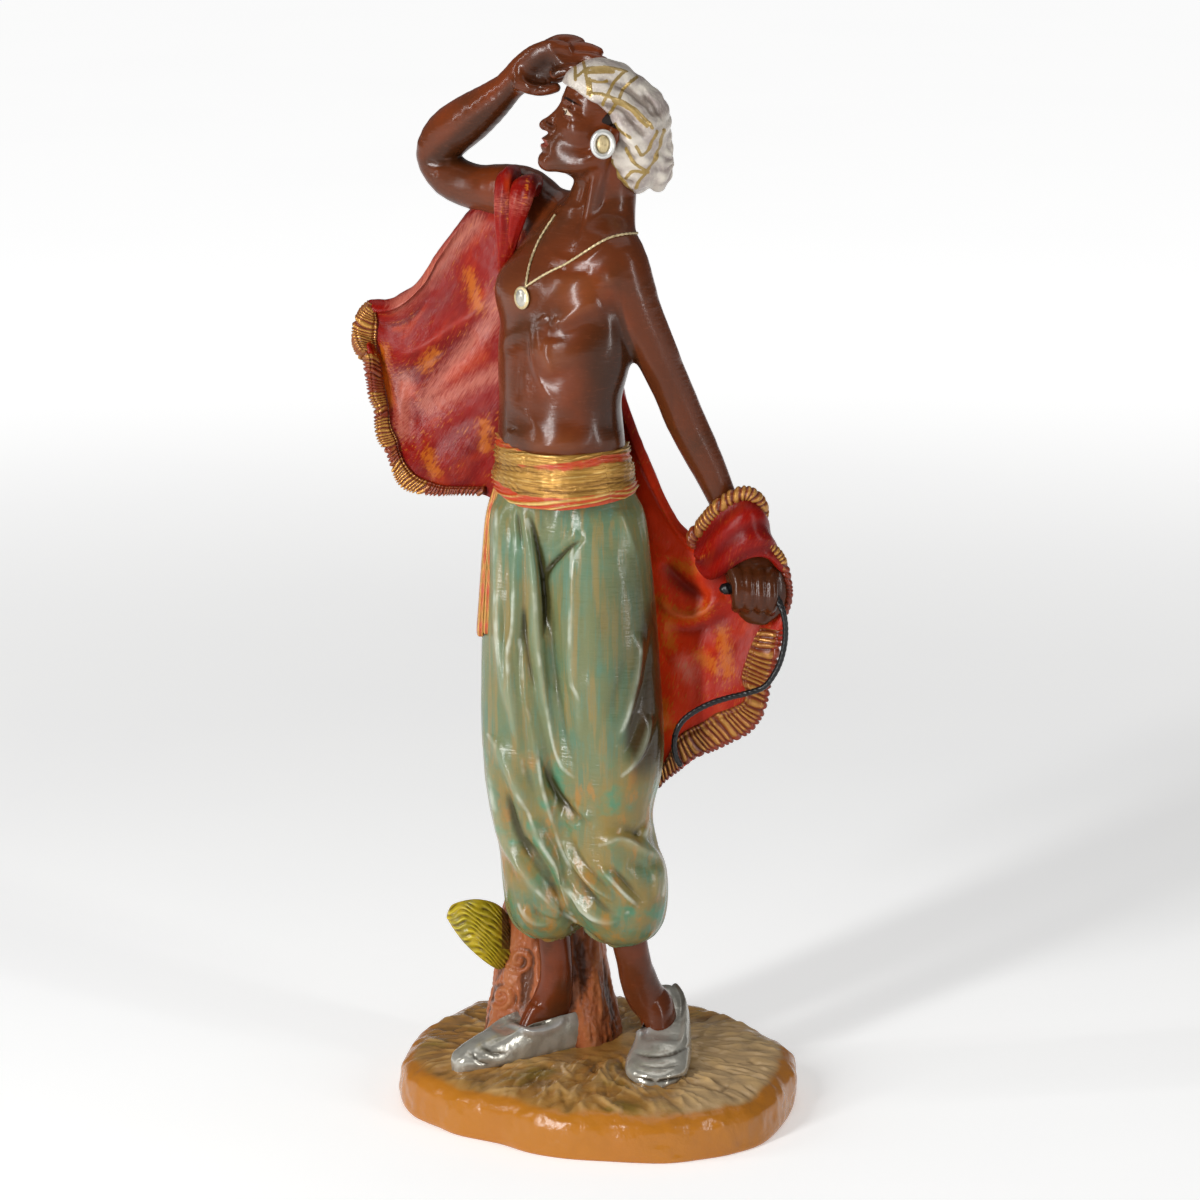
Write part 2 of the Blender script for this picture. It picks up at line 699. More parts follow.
def hemPaint():
    paint = Finish("hemPaint", (124, 46, 24), flows=True)
    gold = paint.cut("gold", 0.3, 0.7, 0.25, 500)
    pleat = paint.cut("relief", -0.35, 0.05, 0.2, 900)
    crest = paint.cut("relief", 0, 0.36, 0.3, 900)
    wear = paint.wear(0.5, 0.12)
    paint.layer((74, 30, 16), wear["Recess"], 0.85)
    paint.layer((130, 70, 30), paint.both(pleat, gold), 0.9)
    bright = paint.both(crest, gold)
    paint.layer((198, 146, 70), bright, 0.8)
    paint.gild(bright, 0.5)
    return paint.finish(0.28, 0.1, 0.4, 0.1, (1400, 400, 1))


def sashPaint():
    paint = Finish("sashPaint", (182, 136, 62), flows=True)
    strands = paint.streaks((60, 2400, 1), 0.46, 0.6)
    paint.layer((120, 80, 30), strands["Mask"], 0.6)
    wear = paint.wear(0.6, 0.12)
    bare = paint.cut("red", 0.35, 0.65, 0.3, 300)
    paint.layer((92, 56, 20), wear["Recess"], 0.8)
    paint.layer((178, 56, 24), paint.both(bare, paint.cut("relief", 0.35, -0.1)), 0.95)
    paint.layer((228, 194, 116), wear["Ridge"], 0.6)
    paint.gild(paint.sums("SUBTRACT", 1.0, bare), 0.45)
    return paint.finish(0.24, 0.08, 0.4, 0.04, (60, 1700, 1), strands, 0.3)


def turbanPaint():
    paint = Finish("turbanPaint", (192, 183, 172))
    paint.mottle((152, 138, 134), 130, 0.45, 0.62, 0.8)
    fine = paint.streaks((1500, 1500, 700), 0.5, 0.7)
    paint.layer((204, 194, 178), fine["Mask"], 0.5)
    paint.rub(0.6, 0.15, (112, 98, 88, 0.8), (214, 206, 192, 0.6))
    gold = paint.cut("gold", 0.4, 0.62, 0.22, 1500)
    paint.layer((152, 122, 44), gold, 0.85)
    paint.gild(gold, 0.4)
    return paint.finish(0.26, 0.1, 0.4, 0.16, (1200, 1200, 1200))


def silverPaint():
    paint = Finish("silverPaint", (186, 183, 172))
    paint.mottle((146, 141, 128), 260, 0.45, 0.65, 0.45)
    paint.rub(0.6, 0.2, (62, 50, 34, 0.9), (214, 214, 212, 0.7))
    paint.metal = 0.52
    return paint.finish(0.22, 0.1, 0.4, 0.12, (600, 600, 600))


def goldPaint():
    paint = Finish("goldPaint", (190, 172, 132))
    paint.mottle((128, 108, 72), 900, 0.48, 0.68, 0.6)
    paint.metal = 0.35
    return paint.finish(0.3, 0.08, 0.2, 0.2)


def barkPaint():
    paint = Finish("barkPaint", (158, 88, 50))
    paint.mottle((164, 100, 62), 150, 0.5, 0.66, 0.7)
    paint.mottle((104, 80, 40), 90, 0.56, 0.7, 0.5)
    paint.rub(0.6, 0.2, (76, 42, 24, 0.85), (172, 108, 66, 0.5))
    return paint.finish(0.28, 0.1, 0.25, 0.16, (1200, 1200, 500))


def leafPaint():
    paint = Finish("leafPaint", (176, 152, 28))
    paint.mottle((112, 104, 20), 170, 0.45, 0.65, 0.7)
    paint.rub(0.55, 0.3, (74, 58, 16, 0.85), (208, 190, 54, 0.75))
    paint.layer((84, 58, 28), paint.cut("inner", 0.4, 0.6, 0.2, 500), 0.85)
    return paint.finish(0.22, 0.1, 0.4, 0.15, (900, 900, 900))


def groundPaint():
    # Ochre round the side, and over it turf in browns, with olive and tan in spots.
    paint = Finish("groundPaint", (172, 108, 28))
    paint.mottle((166, 102, 30), 40, 0.45, 0.66, 0.6)
    turf = paint.cut("top", 0.3, 0.8, 0.35, 110)
    paint.layer((162, 118, 60), turf, 0.9)
    paint.layer((118, 84, 38), paint.both(turf, paint.noise(42, 0.45, 0.64)), 0.5)
    paint.layer((172, 134, 76), paint.both(turf, paint.noise(110, 0.5, 0.68)), 0.45)
    paint.layer((106, 96, 34), paint.both(turf, paint.noise(80, 0.53, 0.68)), 0.55)
    pale = paint.both(turf, paint.cut("worn", 0.2, 0.8, 0.5, 120))
    paint.layer((192, 162, 118), pale, 0.8)
    wear = paint.wear(0.6, 0.15)
    paint.layer((84, 56, 24), paint.both(turf, wear["Recess"]), 0.5)
    paint.layer((202, 166, 110), paint.both(turf, wear["Ridge"]), 0.4)
    return paint.finish(0.22, 0.1, 0.45, 0.2, (500, 500, 500))


def cordWax():
    paint = Finish("cordWax", (20, 19, 20), flows=True)
    paint.mottle((48, 46, 46), 700, 0.5, 0.75, 0.5)
    return paint.finish(0.3, 0.1, 0.35, 0.2, (500, 500, 1))


# Lead cord, whose points are those of the part's own route
cord = {
    "diameter": 1.7, "strands": 3, "pitch": 4.4, "groove": 0.06, "around": 18, "knot": 1.1,
    "route": [
        (32.4, -7.6, 149.8), (36, -7.4, 149.7), (40, -7.4, 149.6), (44.4, -8, 149.4), (47.6, -10.6, 148.2),
        (49.6, -12.6, 144.8), (50.4, -13, 140.4), (50.2, -13, 135.4), (49, -12.8, 130.2), (47, -12.4, 126),
        (44.4, -11.6, 122.8), (39.8, -11, 121), (35.4, -10.6, 119.8), (30.6, -10.4, 118.2),
        (26.2, -10.4, 116), (22.8, -10.6, 113.4), (20.8, -11, 110.2), (20.2, -11.2, 106.4),
        (20.8, -11.2, 102.8), (22.2, -11, 100.2)],
}


def makeCord():
    # Radius: half the diameter, with shallow grooves that wind round it once every pitch.
    path, run = spaced(cord["route"], 0.3)
    radius = cord["diameter"] / 2
    angles = turns(cord["around"])
    fromEnd = np.minimum(run, run[-1] - run)
    rounding = np.sqrt(np.clip(1 - (1 - fromEnd / radius).clip(0) ** 2, 0.02, 1))
    rings = sweep(path, (0.2, 1, 0.1), np.full((len(path), 2), 1.0), angles) - path[:, None]
    wound = np.cos(cord["strands"] * (angles[None] - 2 * math.pi * run[:, None] / cord["pitch"]))
    size = radius * rounding[:, None] * (1 - cord["groove"] + cord["groove"] * wound)
    size *= 1 + (cord["knot"] * bell(run - 2.2, 1.8) + 0.3 * bell(run - 17, 3))[:, None]
    shell = closedTube(path[:, None] + rings * size[..., None])
    flow = tubeFlow(run, angles * radius)
    flow[-1] = flow[-3]
    piece = makePiece("leadCord", shell, cordWax(), values={"flow": flow})
    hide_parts("lead_cord")


makeCord()
print("camera and cord made")

# Skin: torso, neck, head, arms and hands in one
head = {"centre": (1.1, -8, 276.2), "height": 34, "tilt": 22, "turn": 82}
headTilt, headTurn = math.radians(head["tilt"]), math.radians(head["turn"])
headForward = np.array([
    -math.sin(headTurn) * math.cos(headTilt), -math.cos(headTurn) * math.cos(headTilt), math.sin(headTilt)])
headLeft = np.array([math.cos(headTurn), -math.sin(headTurn), 0])
headUp = np.cross(headForward, headLeft)


def headPoint(forward, left, height):
    # A place by shares of the head's height: forward and left of its middle, and up from the chin.
    offset = forward * headForward + left * headLeft + (height - 0.5) * headUp
    return np.array(head["centre"]) + head["height"] * offset


# Rounded masses of the head: forward, left and height of the centre, then half sizes and the fillet.
# Those off the middle come in pairs.
headMasses = {
    "cranium": (-0.03, 0, 0.62, 0.38, 0.285, 0.33, 1),
    "face": (0.14, 0, 0.43, 0.262, 0.25, 0.33, 3),
    "forehead": (0.19, 0, 0.68, 0.2, 0.24, 0.15, 3),
    "muzzle": (0.3, 0, 0.21, 0.1, 0.14, 0.12, 3),
    "underJaw": (0.12, 0, 0.19, 0.24, 0.2, 0.14, 3),
    "chin": (0.335, 0, 0.08, 0.062, 0.08, 0.06, 2),
    "cheekbone": (0.2, 0.19, 0.41, 0.11, 0.07, 0.07, 2.5),
    "brow": (0.325, 0.1, 0.585, 0.055, 0.12, 0.032, 1.6),
    "noseTip": (0.445, 0, 0.335, 0.048, 0.046, 0.04, 1),
    "noseWing": (0.41, 0.05, 0.325, 0.042, 0.03, 0.032, 0.7),
    "upperLip": (0.39, 0, 0.236, 0.042, 0.1, 0.024, 0.7),
    "lowerLip": (0.383, 0, 0.182, 0.042, 0.085, 0.026, 0.7),
    "ear": (-0.03, 0.32, 0.47, 0.06, 0.03, 0.1, 0.8),
}
headRidges = {
    "jaw": [(-0.02, 0.235, 0.34, 0.06), (0.07, 0.22, 0.2, 0.06), (0.3, 0.06, 0.085, 0.05)],
    "nose": [(0.345, 0, 0.58, 0.028), (0.37, 0, 0.5, 0.028), (0.41, 0, 0.42, 0.033), (0.44, 0, 0.36, 0.038)],
}
eyePlace = {"forward": 0.272, "left": 0.148, "height": 0.505, "radius": 0.086,
            "half": 0.078, "open": 0.022, "lid": 0.35}

# Limbs: the way across, the fillet, then rows of x, y, z, half breadth, and half thickness if it differs
limbs = {
    "neck": ((0, 1, 0), 4, [
        (-4.6, -5, 240, 11), (-3, -5.4, 248, 9, 9.6), (-0.6, -6.4, 256, 7.4, 8.2),
        (2, -7.4, 264, 6.8, 7.6), (3.8, -8, 272, 7)]),
    "sternoMuscle": ((0, 1, 0), 1.4, [
        (0.8, -14, 272, 2), (-1.4, -13.8, 262, 2.5), (-3.8, -13.5, 252, 2.1),
        (-6.4, -13.6, 246.4, 1.3)]),
    "leftTrapezius": ((0, 0, 1), 5, [(4.4, -4, 262, 3), (5, -9, 253, 3.4), (4, -15, 246, 3.6)]),
    "rightTrapezius": ((0, 0, 1), 5, [(0, 0, 262, 3), (-5, 3, 255, 3.4), (-14, 6, 252, 3.6)]),
    "leftCollarbone": ((0, 0, 1), 2, [
        (-9.4, -12.6, 245.6, 1.2), (-4.6, -15.6, 247, 1.3), (1.6, -18.6, 246.4, 1.4)]),
    "rightArm": ((0.1, -0.9, 0.3), 3.4, [
        (-14, 6, 250, 8), (-20, 11, 255, 8.3, 7.9), (-26, 14, 256.6, 7, 7.2), (-34, 20, 256.6, 6.3),
        (-41.4, 25, 259.2, 6, 6.1), (-45, 27, 265, 5.9, 6.1), (-41.8, 24.5, 270.8, 6.7, 6.8),
        (-36, 19, 275.6, 6.6), (-29.6, 13.5, 280.8, 5.3), (-24.8, 9.5, 285.2, 4, 4.1),
        (-21.2, 7, 288.6, 3.7, 3.5)]),
    "rightPalm": ((-0.35, -0.25, 0.9), 2, [
        (-24, 8.5, 286.6, 3.4, 2.6), (-20.5, 6.4, 289.2, 5, 2.8), (-16.4, 4, 291.2, 6.2, 3),
        (-11.8, 2.2, 293, 6.2, 2.6), (-8.6, 1.4, 293.6, 4.8, 2)]),
    "rightIndex": ((0, -1, 0.2), 0.9, [
        (-14, 4, 296.4, 2.1), (-11.6, 4.3, 297.7, 1.9), (-9, 4.4, 298, 1.75),
        (-7, 4.6, 297.8, 1.6), (-5.6, 4.6, 297.4, 1.4)]),
    "rightMiddle": ((0, -1, 0.2), 0.8, [
        (-12.6, 3, 294.6, 2), (-9, 2.8, 295.8, 1.9), (-5.6, 2.6, 296.2, 1.75),
        (-2.8, 2.2, 295.8, 1.6), (-0.6, 1.6, 295.1, 1.35)]),
    "rightRing": ((0, -1, 0.2), 0.8, [
        (-12.4, 1, 292.4, 1.9), (-8.6, 0.6, 293.4, 1.8), (-5, 0.3, 293.7, 1.7),
        (-2, -0.4, 293.5, 1.55), (0.8, -1, 292.9, 1.3)]),
    "rightLittle": ((0, -1, 0.2), 0.8, [
        (-12.2, -1, 290, 1.8), (-9, -1.5, 290.6, 1.7), (-5.6, -2.4, 290.8, 1.55),
        (-3, -3, 290.4, 1.3)]),
    "rightThumb": ((0, -1, 0.2), 1.3, [
        (-21.6, 4.4, 286.8, 2.5, 2.4), (-19, 2.6, 285.9, 2.3, 2.2), (-16.4, 1.3, 285.4, 2.1, 2),
        (-14, 0.5, 285.5, 1.9, 1.7), (-12, 0, 285.8, 1.4, 1.3)]),
    "leftArm": ((0.7, -0.7, 0.2), 3.4, [
        (-1, -13, 245, 7, 8), (4.4, -17, 241.6, 7.3, 7.9), (7.2, -17.6, 235, 6.8, 7.4),
        (10.6, -16.6, 226, 6, 6.4), (14.8, -14, 216, 5.6, 5.8), (19.4, -10.5, 205.5, 5.4),
        (22.8, -8, 197, 5.4), (26.8, -6, 188.5, 5.2, 5), (31.2, -4.4, 179, 4.5, 4.3),
        (35.4, -4, 169, 3.8, 3.6), (38, -4.2, 161, 4, 3.4), (39.6, -4.6, 155, 5, 3.8)]),
    "leftPalm": ((1, 0.1, 0), 1.6, [
        (38.2, -4.4, 160, 4, 3.4), (40, -5, 155, 6.2, 4.2), (41.4, -5.6, 150, 6.4, 4.6),
        (42, -6, 145, 5.4, 4), (42.2, -6.4, 142, 3.4, 2.4)]),
    "leftHandBack": ((1, 0, 0), 2, [
        (44.4, -4.4, 158, 3.4, 3), (46.6, -4.6, 154, 4.2, 3.2), (47.6, -5, 149, 4, 3.2),
        (47, -5.4, 144.4, 3.2, 2.6), (44.6, -6, 141.6, 2.4, 2)]),
    "leftThumb": ((1, 0, 0), 0.9, [
        (35.6, -6, 157, 2), (36.2, -8.6, 155, 1.9), (37, -10.4, 152.6, 1.8),
        (38.4, -11.6, 150.6, 1.5)]),
}
for number, across in enumerate([37.2, 40.2, 43.4, 46.4]):
    drop = 0.3 * number
    limbs[f"leftFinger{number}"] = ((1, 0, 0), 0.4, [
        (across, -6, 155.6 - drop, 1.8), (across + 0.1, -8.6, 154.8 - drop, 1.85),
        (across + 0.2, -10.6, 152.6 - drop, 1.8), (across + 0.3, -11.6, 149.6 - drop, 1.75),
        (across + 0.2, -10.8, 146.4 - drop, 1.7), (across, -8, 144.6 - drop, 1.5)])

# Masses of the trunk and arms: centre, half sizes and fillet, on axes that face as the chest does.
bodyTurn = math.radians(48)
chestFront = np.array([-math.sin(bodyTurn), -math.cos(bodyTurn), 0])
chestSide = np.array([math.cos(bodyTurn), -math.sin(bodyTurn), 0])
chestCentre = np.array([-8.8, -6.6, 0])
# Side, forward and height of the centre, then half sizes sideways, forward and up, and the fillet.
bodyMasses = {
    "ribs": (0, 3, 216, 17, 12, 14, 4), "rightBreast": (-8.4, 9.4, 232, 9, 4.2, 7.6, 5),
    "leftBlade": (8, -9.5, 234, 7, 3.4, 9, 3), "rightBlade": (-8, -9.5, 236, 7, 3.4, 9, 3),
}
torsoRows = [
    (186, -10.2, -6.4, 19, 15.9, 57), (190.2, -10.8, -6.5, 19.3, 16.1, 57), (195, -10.9, -6.8, 19.1, 16, 56),
    (203, -11, -7, 19.3, 15, 54), (211, -10.3, -7, 20.9, 15.2, 51), (219, -9.3, -7, 21.6, 15.3, 49),
    (227, -8.8, -6.6, 21.3, 14.9, 48), (234, -8.4, -6.2, 20.9, 13.9, 47), (240, -7.6, -5.8, 20.8, 12.6, 47),
    (245, -6.2, -5.4, 19, 11.2, 47), (249.5, -4.6, -5.2, 14.4, 9.4, 45), (254, -2.8, -5, 9.4, 7.8, 45)]

# Soft swells of the chest and belly on the seen view: across, up, half sizes and height
skinSwells = [
    (-6.5, 86, 8.5, 5.5, 1.7), (-22.5, 83.5, 5.5, 5.5, 1.2), (-11.5, 68, 6.5, 5, 1.1),
    (-12.5, 54.5, 8, 5.5, 0.5), (-14, 43.5, 10, 3.4, 1), (3.4, 43, 5, 3.4, 0.8), (-24, 58, 5, 7, 0.6),
]
# Carved lines on the skin, on the seen view
skinLines = drawn([
    (2.2, 1.2, -0.3, 82.5, -3.6, 80.9, -7.4, 78.7, -10.7, 76.7, -14, 76.5),
    (2.6, -0.7, -1.4, 78.7, -5.8, 75.6, -10.2, 73.2, -14.6, 73.4), (0.8, 0.7, -11.8, 76.3, -12.2, 76.3),
    (1.2, 0.5, -16, 78.1, -15.1, 76.5), (1.1, 0.45, -17.3, 74.8, -16.8, 70.1, -16.5, 66),
    (1.6, 1, -14.3, 72.1, -14.6, 68.2, -13.8, 64.9, -12.7, 61.6),
    (1, 0.6, -19.2, 76.5, -19, 70.1, -18.2, 64.4, -16, 59.1, -12.4, 55),
    (1.8, -0.5, -20.6, 74.2, -20.4, 68.8, -19.5, 63.3, -17.3, 57.8),
    (1.4, 0.25, -28.1, 67.7, -26.7, 70.7, -24.8, 72.6, -22.3, 73.4, -19.5, 72.1),
    (2, -0.2, -26.1, 68.2, -24.2, 70.4, -21.7, 71), (1, -0.4, -22, 68.2, -22.3, 61.6, -22.3, 54.5),
    (1.4, 0.4, -25.9, 52.8, -23.9, 52.8, -21.7, 51.7, -19.2, 49.5, -16.5, 47, -14, 45.7),
    (1.6, -0.3, -25.6, 51.4, -23.4, 51.4, -21.2, 50.1, -18.7, 47.6), (0.6, -0.8, -24.1, 47.6, -24.1, 46.5),
    (0.7, 0.3, -25, 47, -24.8, 45.9, -23.7, 45.7),
    (3, 0.6, -20.6, 41.2, -15.4, 42.1, -9.1, 42.4, -3.6, 41.2),
    (1.6, 0.5, 4.4, 87.2, 5.2, 82.5, 8, 75.6, 11.6, 69.3, 14, 64.6, 17.3, 60, 19.2, 56.1),
    (1.6, 0.5, 2.8, 90.2, 3, 86.6), (1.4, -0.6, 3.6, 84.7, 5.2, 77.6, 7.2, 70.1, 9.1, 64.9),
    (1.6, 0.4, 16.8, 82.5, 19.5, 74.2, 22.3, 65.5), (1.2, 0.4, -15, 95.7, -8.8, 93, -3.6, 93.8, 3, 98.7),
    (1.4, -0.4, -14, 92.4, -8, 89.9, -2.5, 91), (0.7, -0.7, -3, 119.6, -4.7, 110, -6.6, 99),
    (0.9, 0.5, -1.9, 118.3, -3.3, 108.6, -5, 99), (0.7, -0.6, -48.1, 120.2, -44.6, 119.4, -41.5, 120.7),
    (0.6, -0.4, -48.7, 118, -45.1, 117.2), (3.2, -1.4, -20.9, 143, -16.5, 145.5, -12.1, 149.1),
    (0.8, -0.6, -20.1, 138.6, -17.3, 141.1, -15.1, 140), (0.6, -0.4, -12.7, 153.7, -8.5, 153.2),
    (0.6, -0.6, -12.9, 151, -8, 149.3, -2.8, 149.6), (0.6, -0.6, -12.7, 147.7, -8, 146.3, -3, 146.6),
])


def makeSkinForm():
    # A trunk of upright ovals, then masses and limbs that join it with fillets, and eyes set in sockets.
    form = startForm((-54, -27, 137), (55, 36, 307), meshSteps["skin"] * coarse)
    addStack(form, torsoRows, 1)
    chestAxes = [chestSide, chestFront, (0, 0, 1)]
    for side, front, height, *halves, soft in bodyMasses.values():
        centre = chestCentre + side * chestSide + front * chestFront + np.array([0, 0, height])
        addBall(form, centre, halves, soft, chestAxes)
    for across, soft, rows in limbs.values():
        addLimb(form, rows, across, soft)
    tall = head["height"]
    for forward, left, height, *halves, soft in headMasses.values():
        for side in ((1, -1) if left else (1,)):
            addBall(form, headPoint(forward, side * left, height), np.array(halves) * tall, soft,
                    [headForward, headLeft, headUp])

    def addRidge(rows, side, across, soft):
        # A limb of the head: forward, left and height, then its half size, by shares of the head's height.
        places = [(*headPoint(forward, side * left, height), size * tall)
                  for forward, left, height, size in rows]
        addLimb(form, places, across, soft)

    for side in (1, -1):
        addRidge(headRidges["jaw"], side, headUp, 3)
    addRidge(headRidges["nose"], 1, headLeft, 1.2)
    for side in (1, -1):
        socket = headPoint(0.405, side * 0.155, 0.515)
        form["distances"] *= -1
        addBall(form, socket, np.array([0.085, 0.085, 0.05]) * tall, 1.2, [headForward, headLeft, headUp])
        form["distances"] *= -1
        eyeball = headPoint(eyePlace["forward"], side * eyePlace["left"], eyePlace["height"])
        addBall(form, eyeball, np.full(3, eyePlace["radius"] * tall), 0.3)
    return form


def inHead(points):
    # Places by shares of the head's height: forward, left, and height above the chin.
    offset = (points - np.array(head["centre"])) / head["height"]
    return offset @ headForward, offset @ headLeft, offset @ headUp + 0.5


def refine(points, quads, triangles, chosen):
    # Splits each chosen face in four.
    mesh = bpy.data.meshes.new("refined")
    mesh.from_pydata(points.tolist(), [], quads.tolist() + triangles.tolist())
    work = bmesh.new()
    work.from_mesh(mesh)
    work.faces.ensure_lookup_table()
    edges = {edge for number in np.flatnonzero(chosen) for edge in work.faces[number].edges}
    bmesh.ops.subdivide_edges(work, edges=list(edges), cuts=1, use_grid_fill=True, smooth=0)
    bmesh.ops.triangulate(work, faces=[face for face in work.faces if len(face.verts) > 4])
    work.to_mesh(mesh)
    work.free()

    def fetched(items, key, kind=int, width=1):
        found = np.zeros(len(items) * width, kind)
        items.foreach_get(key, found)
        return found

    places, corners = fetched(mesh.vertices, "co", float, 3), fetched(mesh.loops, "vertex_index")
    starts, counts = fetched(mesh.polygons, "loop_start"), fetched(mesh.polygons, "loop_total")
    bpy.data.meshes.remove(mesh)
    faces = [corners[starts[counts == count, None] + np.arange(count)] for count in (4, 3)]
    return places.reshape(-1, 3), *faces


def faceCarving(points):
    # Lids, lips, nostrils and brows on the head's own axes, with the places that are painted.
    forward, left, height = inHead(points)
    front = ease(0.16, 0.24, forward)
    sideways = np.abs(left) - eyePlace["left"]
    above = height - eyePlace["height"] + 0.12 * sideways
    opening = eyePlace["open"] * np.clip(1 - (sideways / eyePlace["half"]) ** 2, 0, 1)
    beyond = np.abs(above) - opening
    nearEye = bell(sideways, 0.085) * front
    lid = eyePlace["lid"] * bell(beyond - 0.008, 0.009) * nearEye
    fold = -0.3 * bell(above - opening - 0.034, 0.009) * nearEye * (above > 0)
    aside = np.abs(left)
    mouth = -0.55 * bell(height - 0.209 + 0.35 * left ** 2, 0.009) * ease(0.115, 0.085, aside) * front
    groove = -0.25 * bell(left, 0.014) * bell(height - 0.275, 0.02) * front
    nostril = -0.7 * bell(aside - 0.036, 0.016) * bell(height - 0.3, 0.014) * front
    wing = -0.3 * bell(np.hypot(aside - 0.05, height - 0.33) - 0.045, 0.01) * front * (forward < 0.45)
    chinFold = -0.35 * bell(height - 0.135, 0.018) * bell(left, 0.09) * front
    carved = lid + fold + mouth + groove + nostril + wing + chinFold
    white = ease(0.004, -0.004, beyond) * (np.abs(sideways) < eyePlace["half"]) * (forward > 0.25)
    iris = ease(0.03, 0.022, np.hypot(sideways, above)) * white
    arch = 0.6 - 0.9 * (aside - 0.13) ** 2
    brow = bell(height - arch, 0.012) * ease(0.03, 0.06, aside) * ease(0.25, 0.2, aside)
    lips = bell(height - 0.209, 0.036) * ease(0.11, 0.08, aside) * (forward > 0.36)
    hair = ease(0.02, -0.03, forward - 0.08 + 0.35 * (height - 0.6)) * ease(0.5, 0.56, height)
    values = {"eyeWhite": white, "iris": iris, "brow": brow * front * 0.9, "lips": lips, "hair": hair}
    return carved, {key: np.asarray(value, float) for key, value in values.items()}


def skinCarving(points, normals):
    # Swells and drawn lines on the side that is seen, the face, and dark paint on the shaded places.
    across, up = seen(points)
    shown = ease(0.2, -0.3, normals @ away)
    face, values = faceCarving(points)
    swells = [tall * bell(across - a, wide) * bell(up - b, high) for a, b, wide, high, tall in skinSwells]
    height = (strokes(across, up, skinLines) + sum(swells)) * shown + face
    height += 0.04 * lattice(points, 3.0, 4)
    edge = np.interp(up, [40, 60, 66, 74, 80], [14, 12.5, 10.5, 7.5, 6])
    dusk = ease(-12, 4, across) * ease(edge + 0.6, edge - 0.6, across) * ease(94, 70, up)
    dusk *= ease(30, 50, up) * shown
    dusk = np.maximum(dusk, 0.3 * ease(72, 60, up) * (up > 30)) * (across < 20)
    dusk = np.maximum(dusk, 0.7 * ease(32, 35, across) * ease(14, 9, up) * (up > -9))
    palm = bell(np.hypot((across + 15.5) / 6.5, (up - 146) / 5.5), 1)
    under = 0.666 * (across + 46.1) - 0.746 * (up - 124.3)
    under = ease(-1.5, 2.5, under) * ease(118, 121, up) * ease(-22, -25, across)
    values["dusk"] = np.maximum(dusk, (palm + 0.8 * under) * shown)
    return height, values


def makeSkin(material):
    shell = skinOfForm(makeSkinForm())
    forward, left, height = inHead(shell[0][shell[1]].mean(1))
    chosen = (forward > 0.05) & (height > 0.02) & (height < 0.7) & (np.abs(left) < 0.3)
    shell = refine(*shell, chosen)
    return figurePiece("skin", shell, material, skinCarving)


skin = makeSkin(skinPaint())


# Ankles and feet, which stand in the slippers
feet = {
    "rightFoot": ((0.81, 0.59, 0), [
        (-15, -2, 56, 5.2, 5.2), (-13.4, -2, 48, 4.8, 4.9), (-12.6, -1.6, 41, 4.5, 4.7),
        (-12.8, -0.6, 34, 5, 4.8), (-13.8, 0.9, 28, 6.6, 4.6), (-15, 0.6, 24, 8, 4.4),
        (-16.6, -0.2, 19, 8.6, 4.4)]),
    "leftFoot": ((0.13, 0.99, 0), [
        (6.5, -10, 58, 5.2, 5.2), (7.8, -9.2, 50, 5, 5), (9.2, -8, 43, 5, 4.8), (10.6, -5.6, 36.5, 5.6, 5.2),
        (12.8, -3.8, 31, 6.4, 5.4), (15.6, -3.4, 27, 7.2, 5.2), (17, -3.4, 20, 8, 4.6)]),
}


def makeFoot(name, across, rows, material):
    # A tube along the foot, with small lumps.
    path, _ = spaced(rows, 0.5 * coarse)
    rings = sweep(path[:, :3], across, path[:, 3:], around(72))

    def carving(points, normals):
        return 0.12 * lattice(points, 3.5, 9), {}

    figurePiece(name, closedTube(rings), material, carving)


for name, (across, rows) in feet.items():
    makeFoot(name, across, rows, skin.data.materials[0])
print("skin made")


# Trousers
legs = {
    "between": [
        (55, -5, -6, 5, 6, 0), (62, -5, -6.5, 7, 8.5, 0), (74, -6, -7, 7, 9.5, 0), (88, -8, -7, 7, 10, 0),
        (104, -8, -7, 7, 11, 0), (122, -8.5, -7, 7, 10.6, 0)],
    "right": [
        (48.8, -14.4, -2, 5.2, 5.4, 0), (51.5, -14.6, -2, 8.8, 9.2, 0), (56, -14.7, -2, 11.2, 11.8, 0),
        (62, -14.7, -2, 12.3, 12.8, 0), (70, -15.2, -2, 12.8, 13.6, 0), (78, -15.6, -2, 13, 14, 0),
        (87, -16.8, -2, 14, 14.5, 0), (100, -17.8, -2, 14.8, 15, 0), (111, -18.2, -2, 15.1, 15, 0),
        (122, -18.3, -2, 15, 15, 0), (139, -18, -2, 14.8, 15, 0), (155, -17.4, -2.5, 14.3, 14.6, 0),
        (170, -16.4, -3.5, 14.4, 14, 12), (176, -15.4, -4.4, 13, 12.8, 20), (183, -14, -5, 11, 11, 20)],
    "left": [
        (49, 6.4, -9, 5, 5.2, 0), (51.5, 6.2, -9, 8.6, 9, 0), (55.5, 5.8, -9, 11.4, 11.6, 0),
        (62, 5, -9, 13.3, 13, 0), (70, 3.6, -9, 14, 13.8, 0), (78, 2.3, -9, 13, 13.6, 0),
        (87, 1.6, -9, 12.2, 13.6, 0), (100, 3, -9, 13.6, 14.6, 0), (111, 2.5, -9, 14.6, 15, 0),
        (122, 1.2, -9, 15.4, 15.4, 0), (139, 0.1, -8.8, 15.4, 15.4, 0), (155, -0.6, -8.5, 14.7, 15, 0),
        (170, -1.8, -8, 14, 14.2, 12), (176, -3, -7.6, 12.6, 12.8, 20), (183, -5, -7, 10.6, 11, 20)],
}
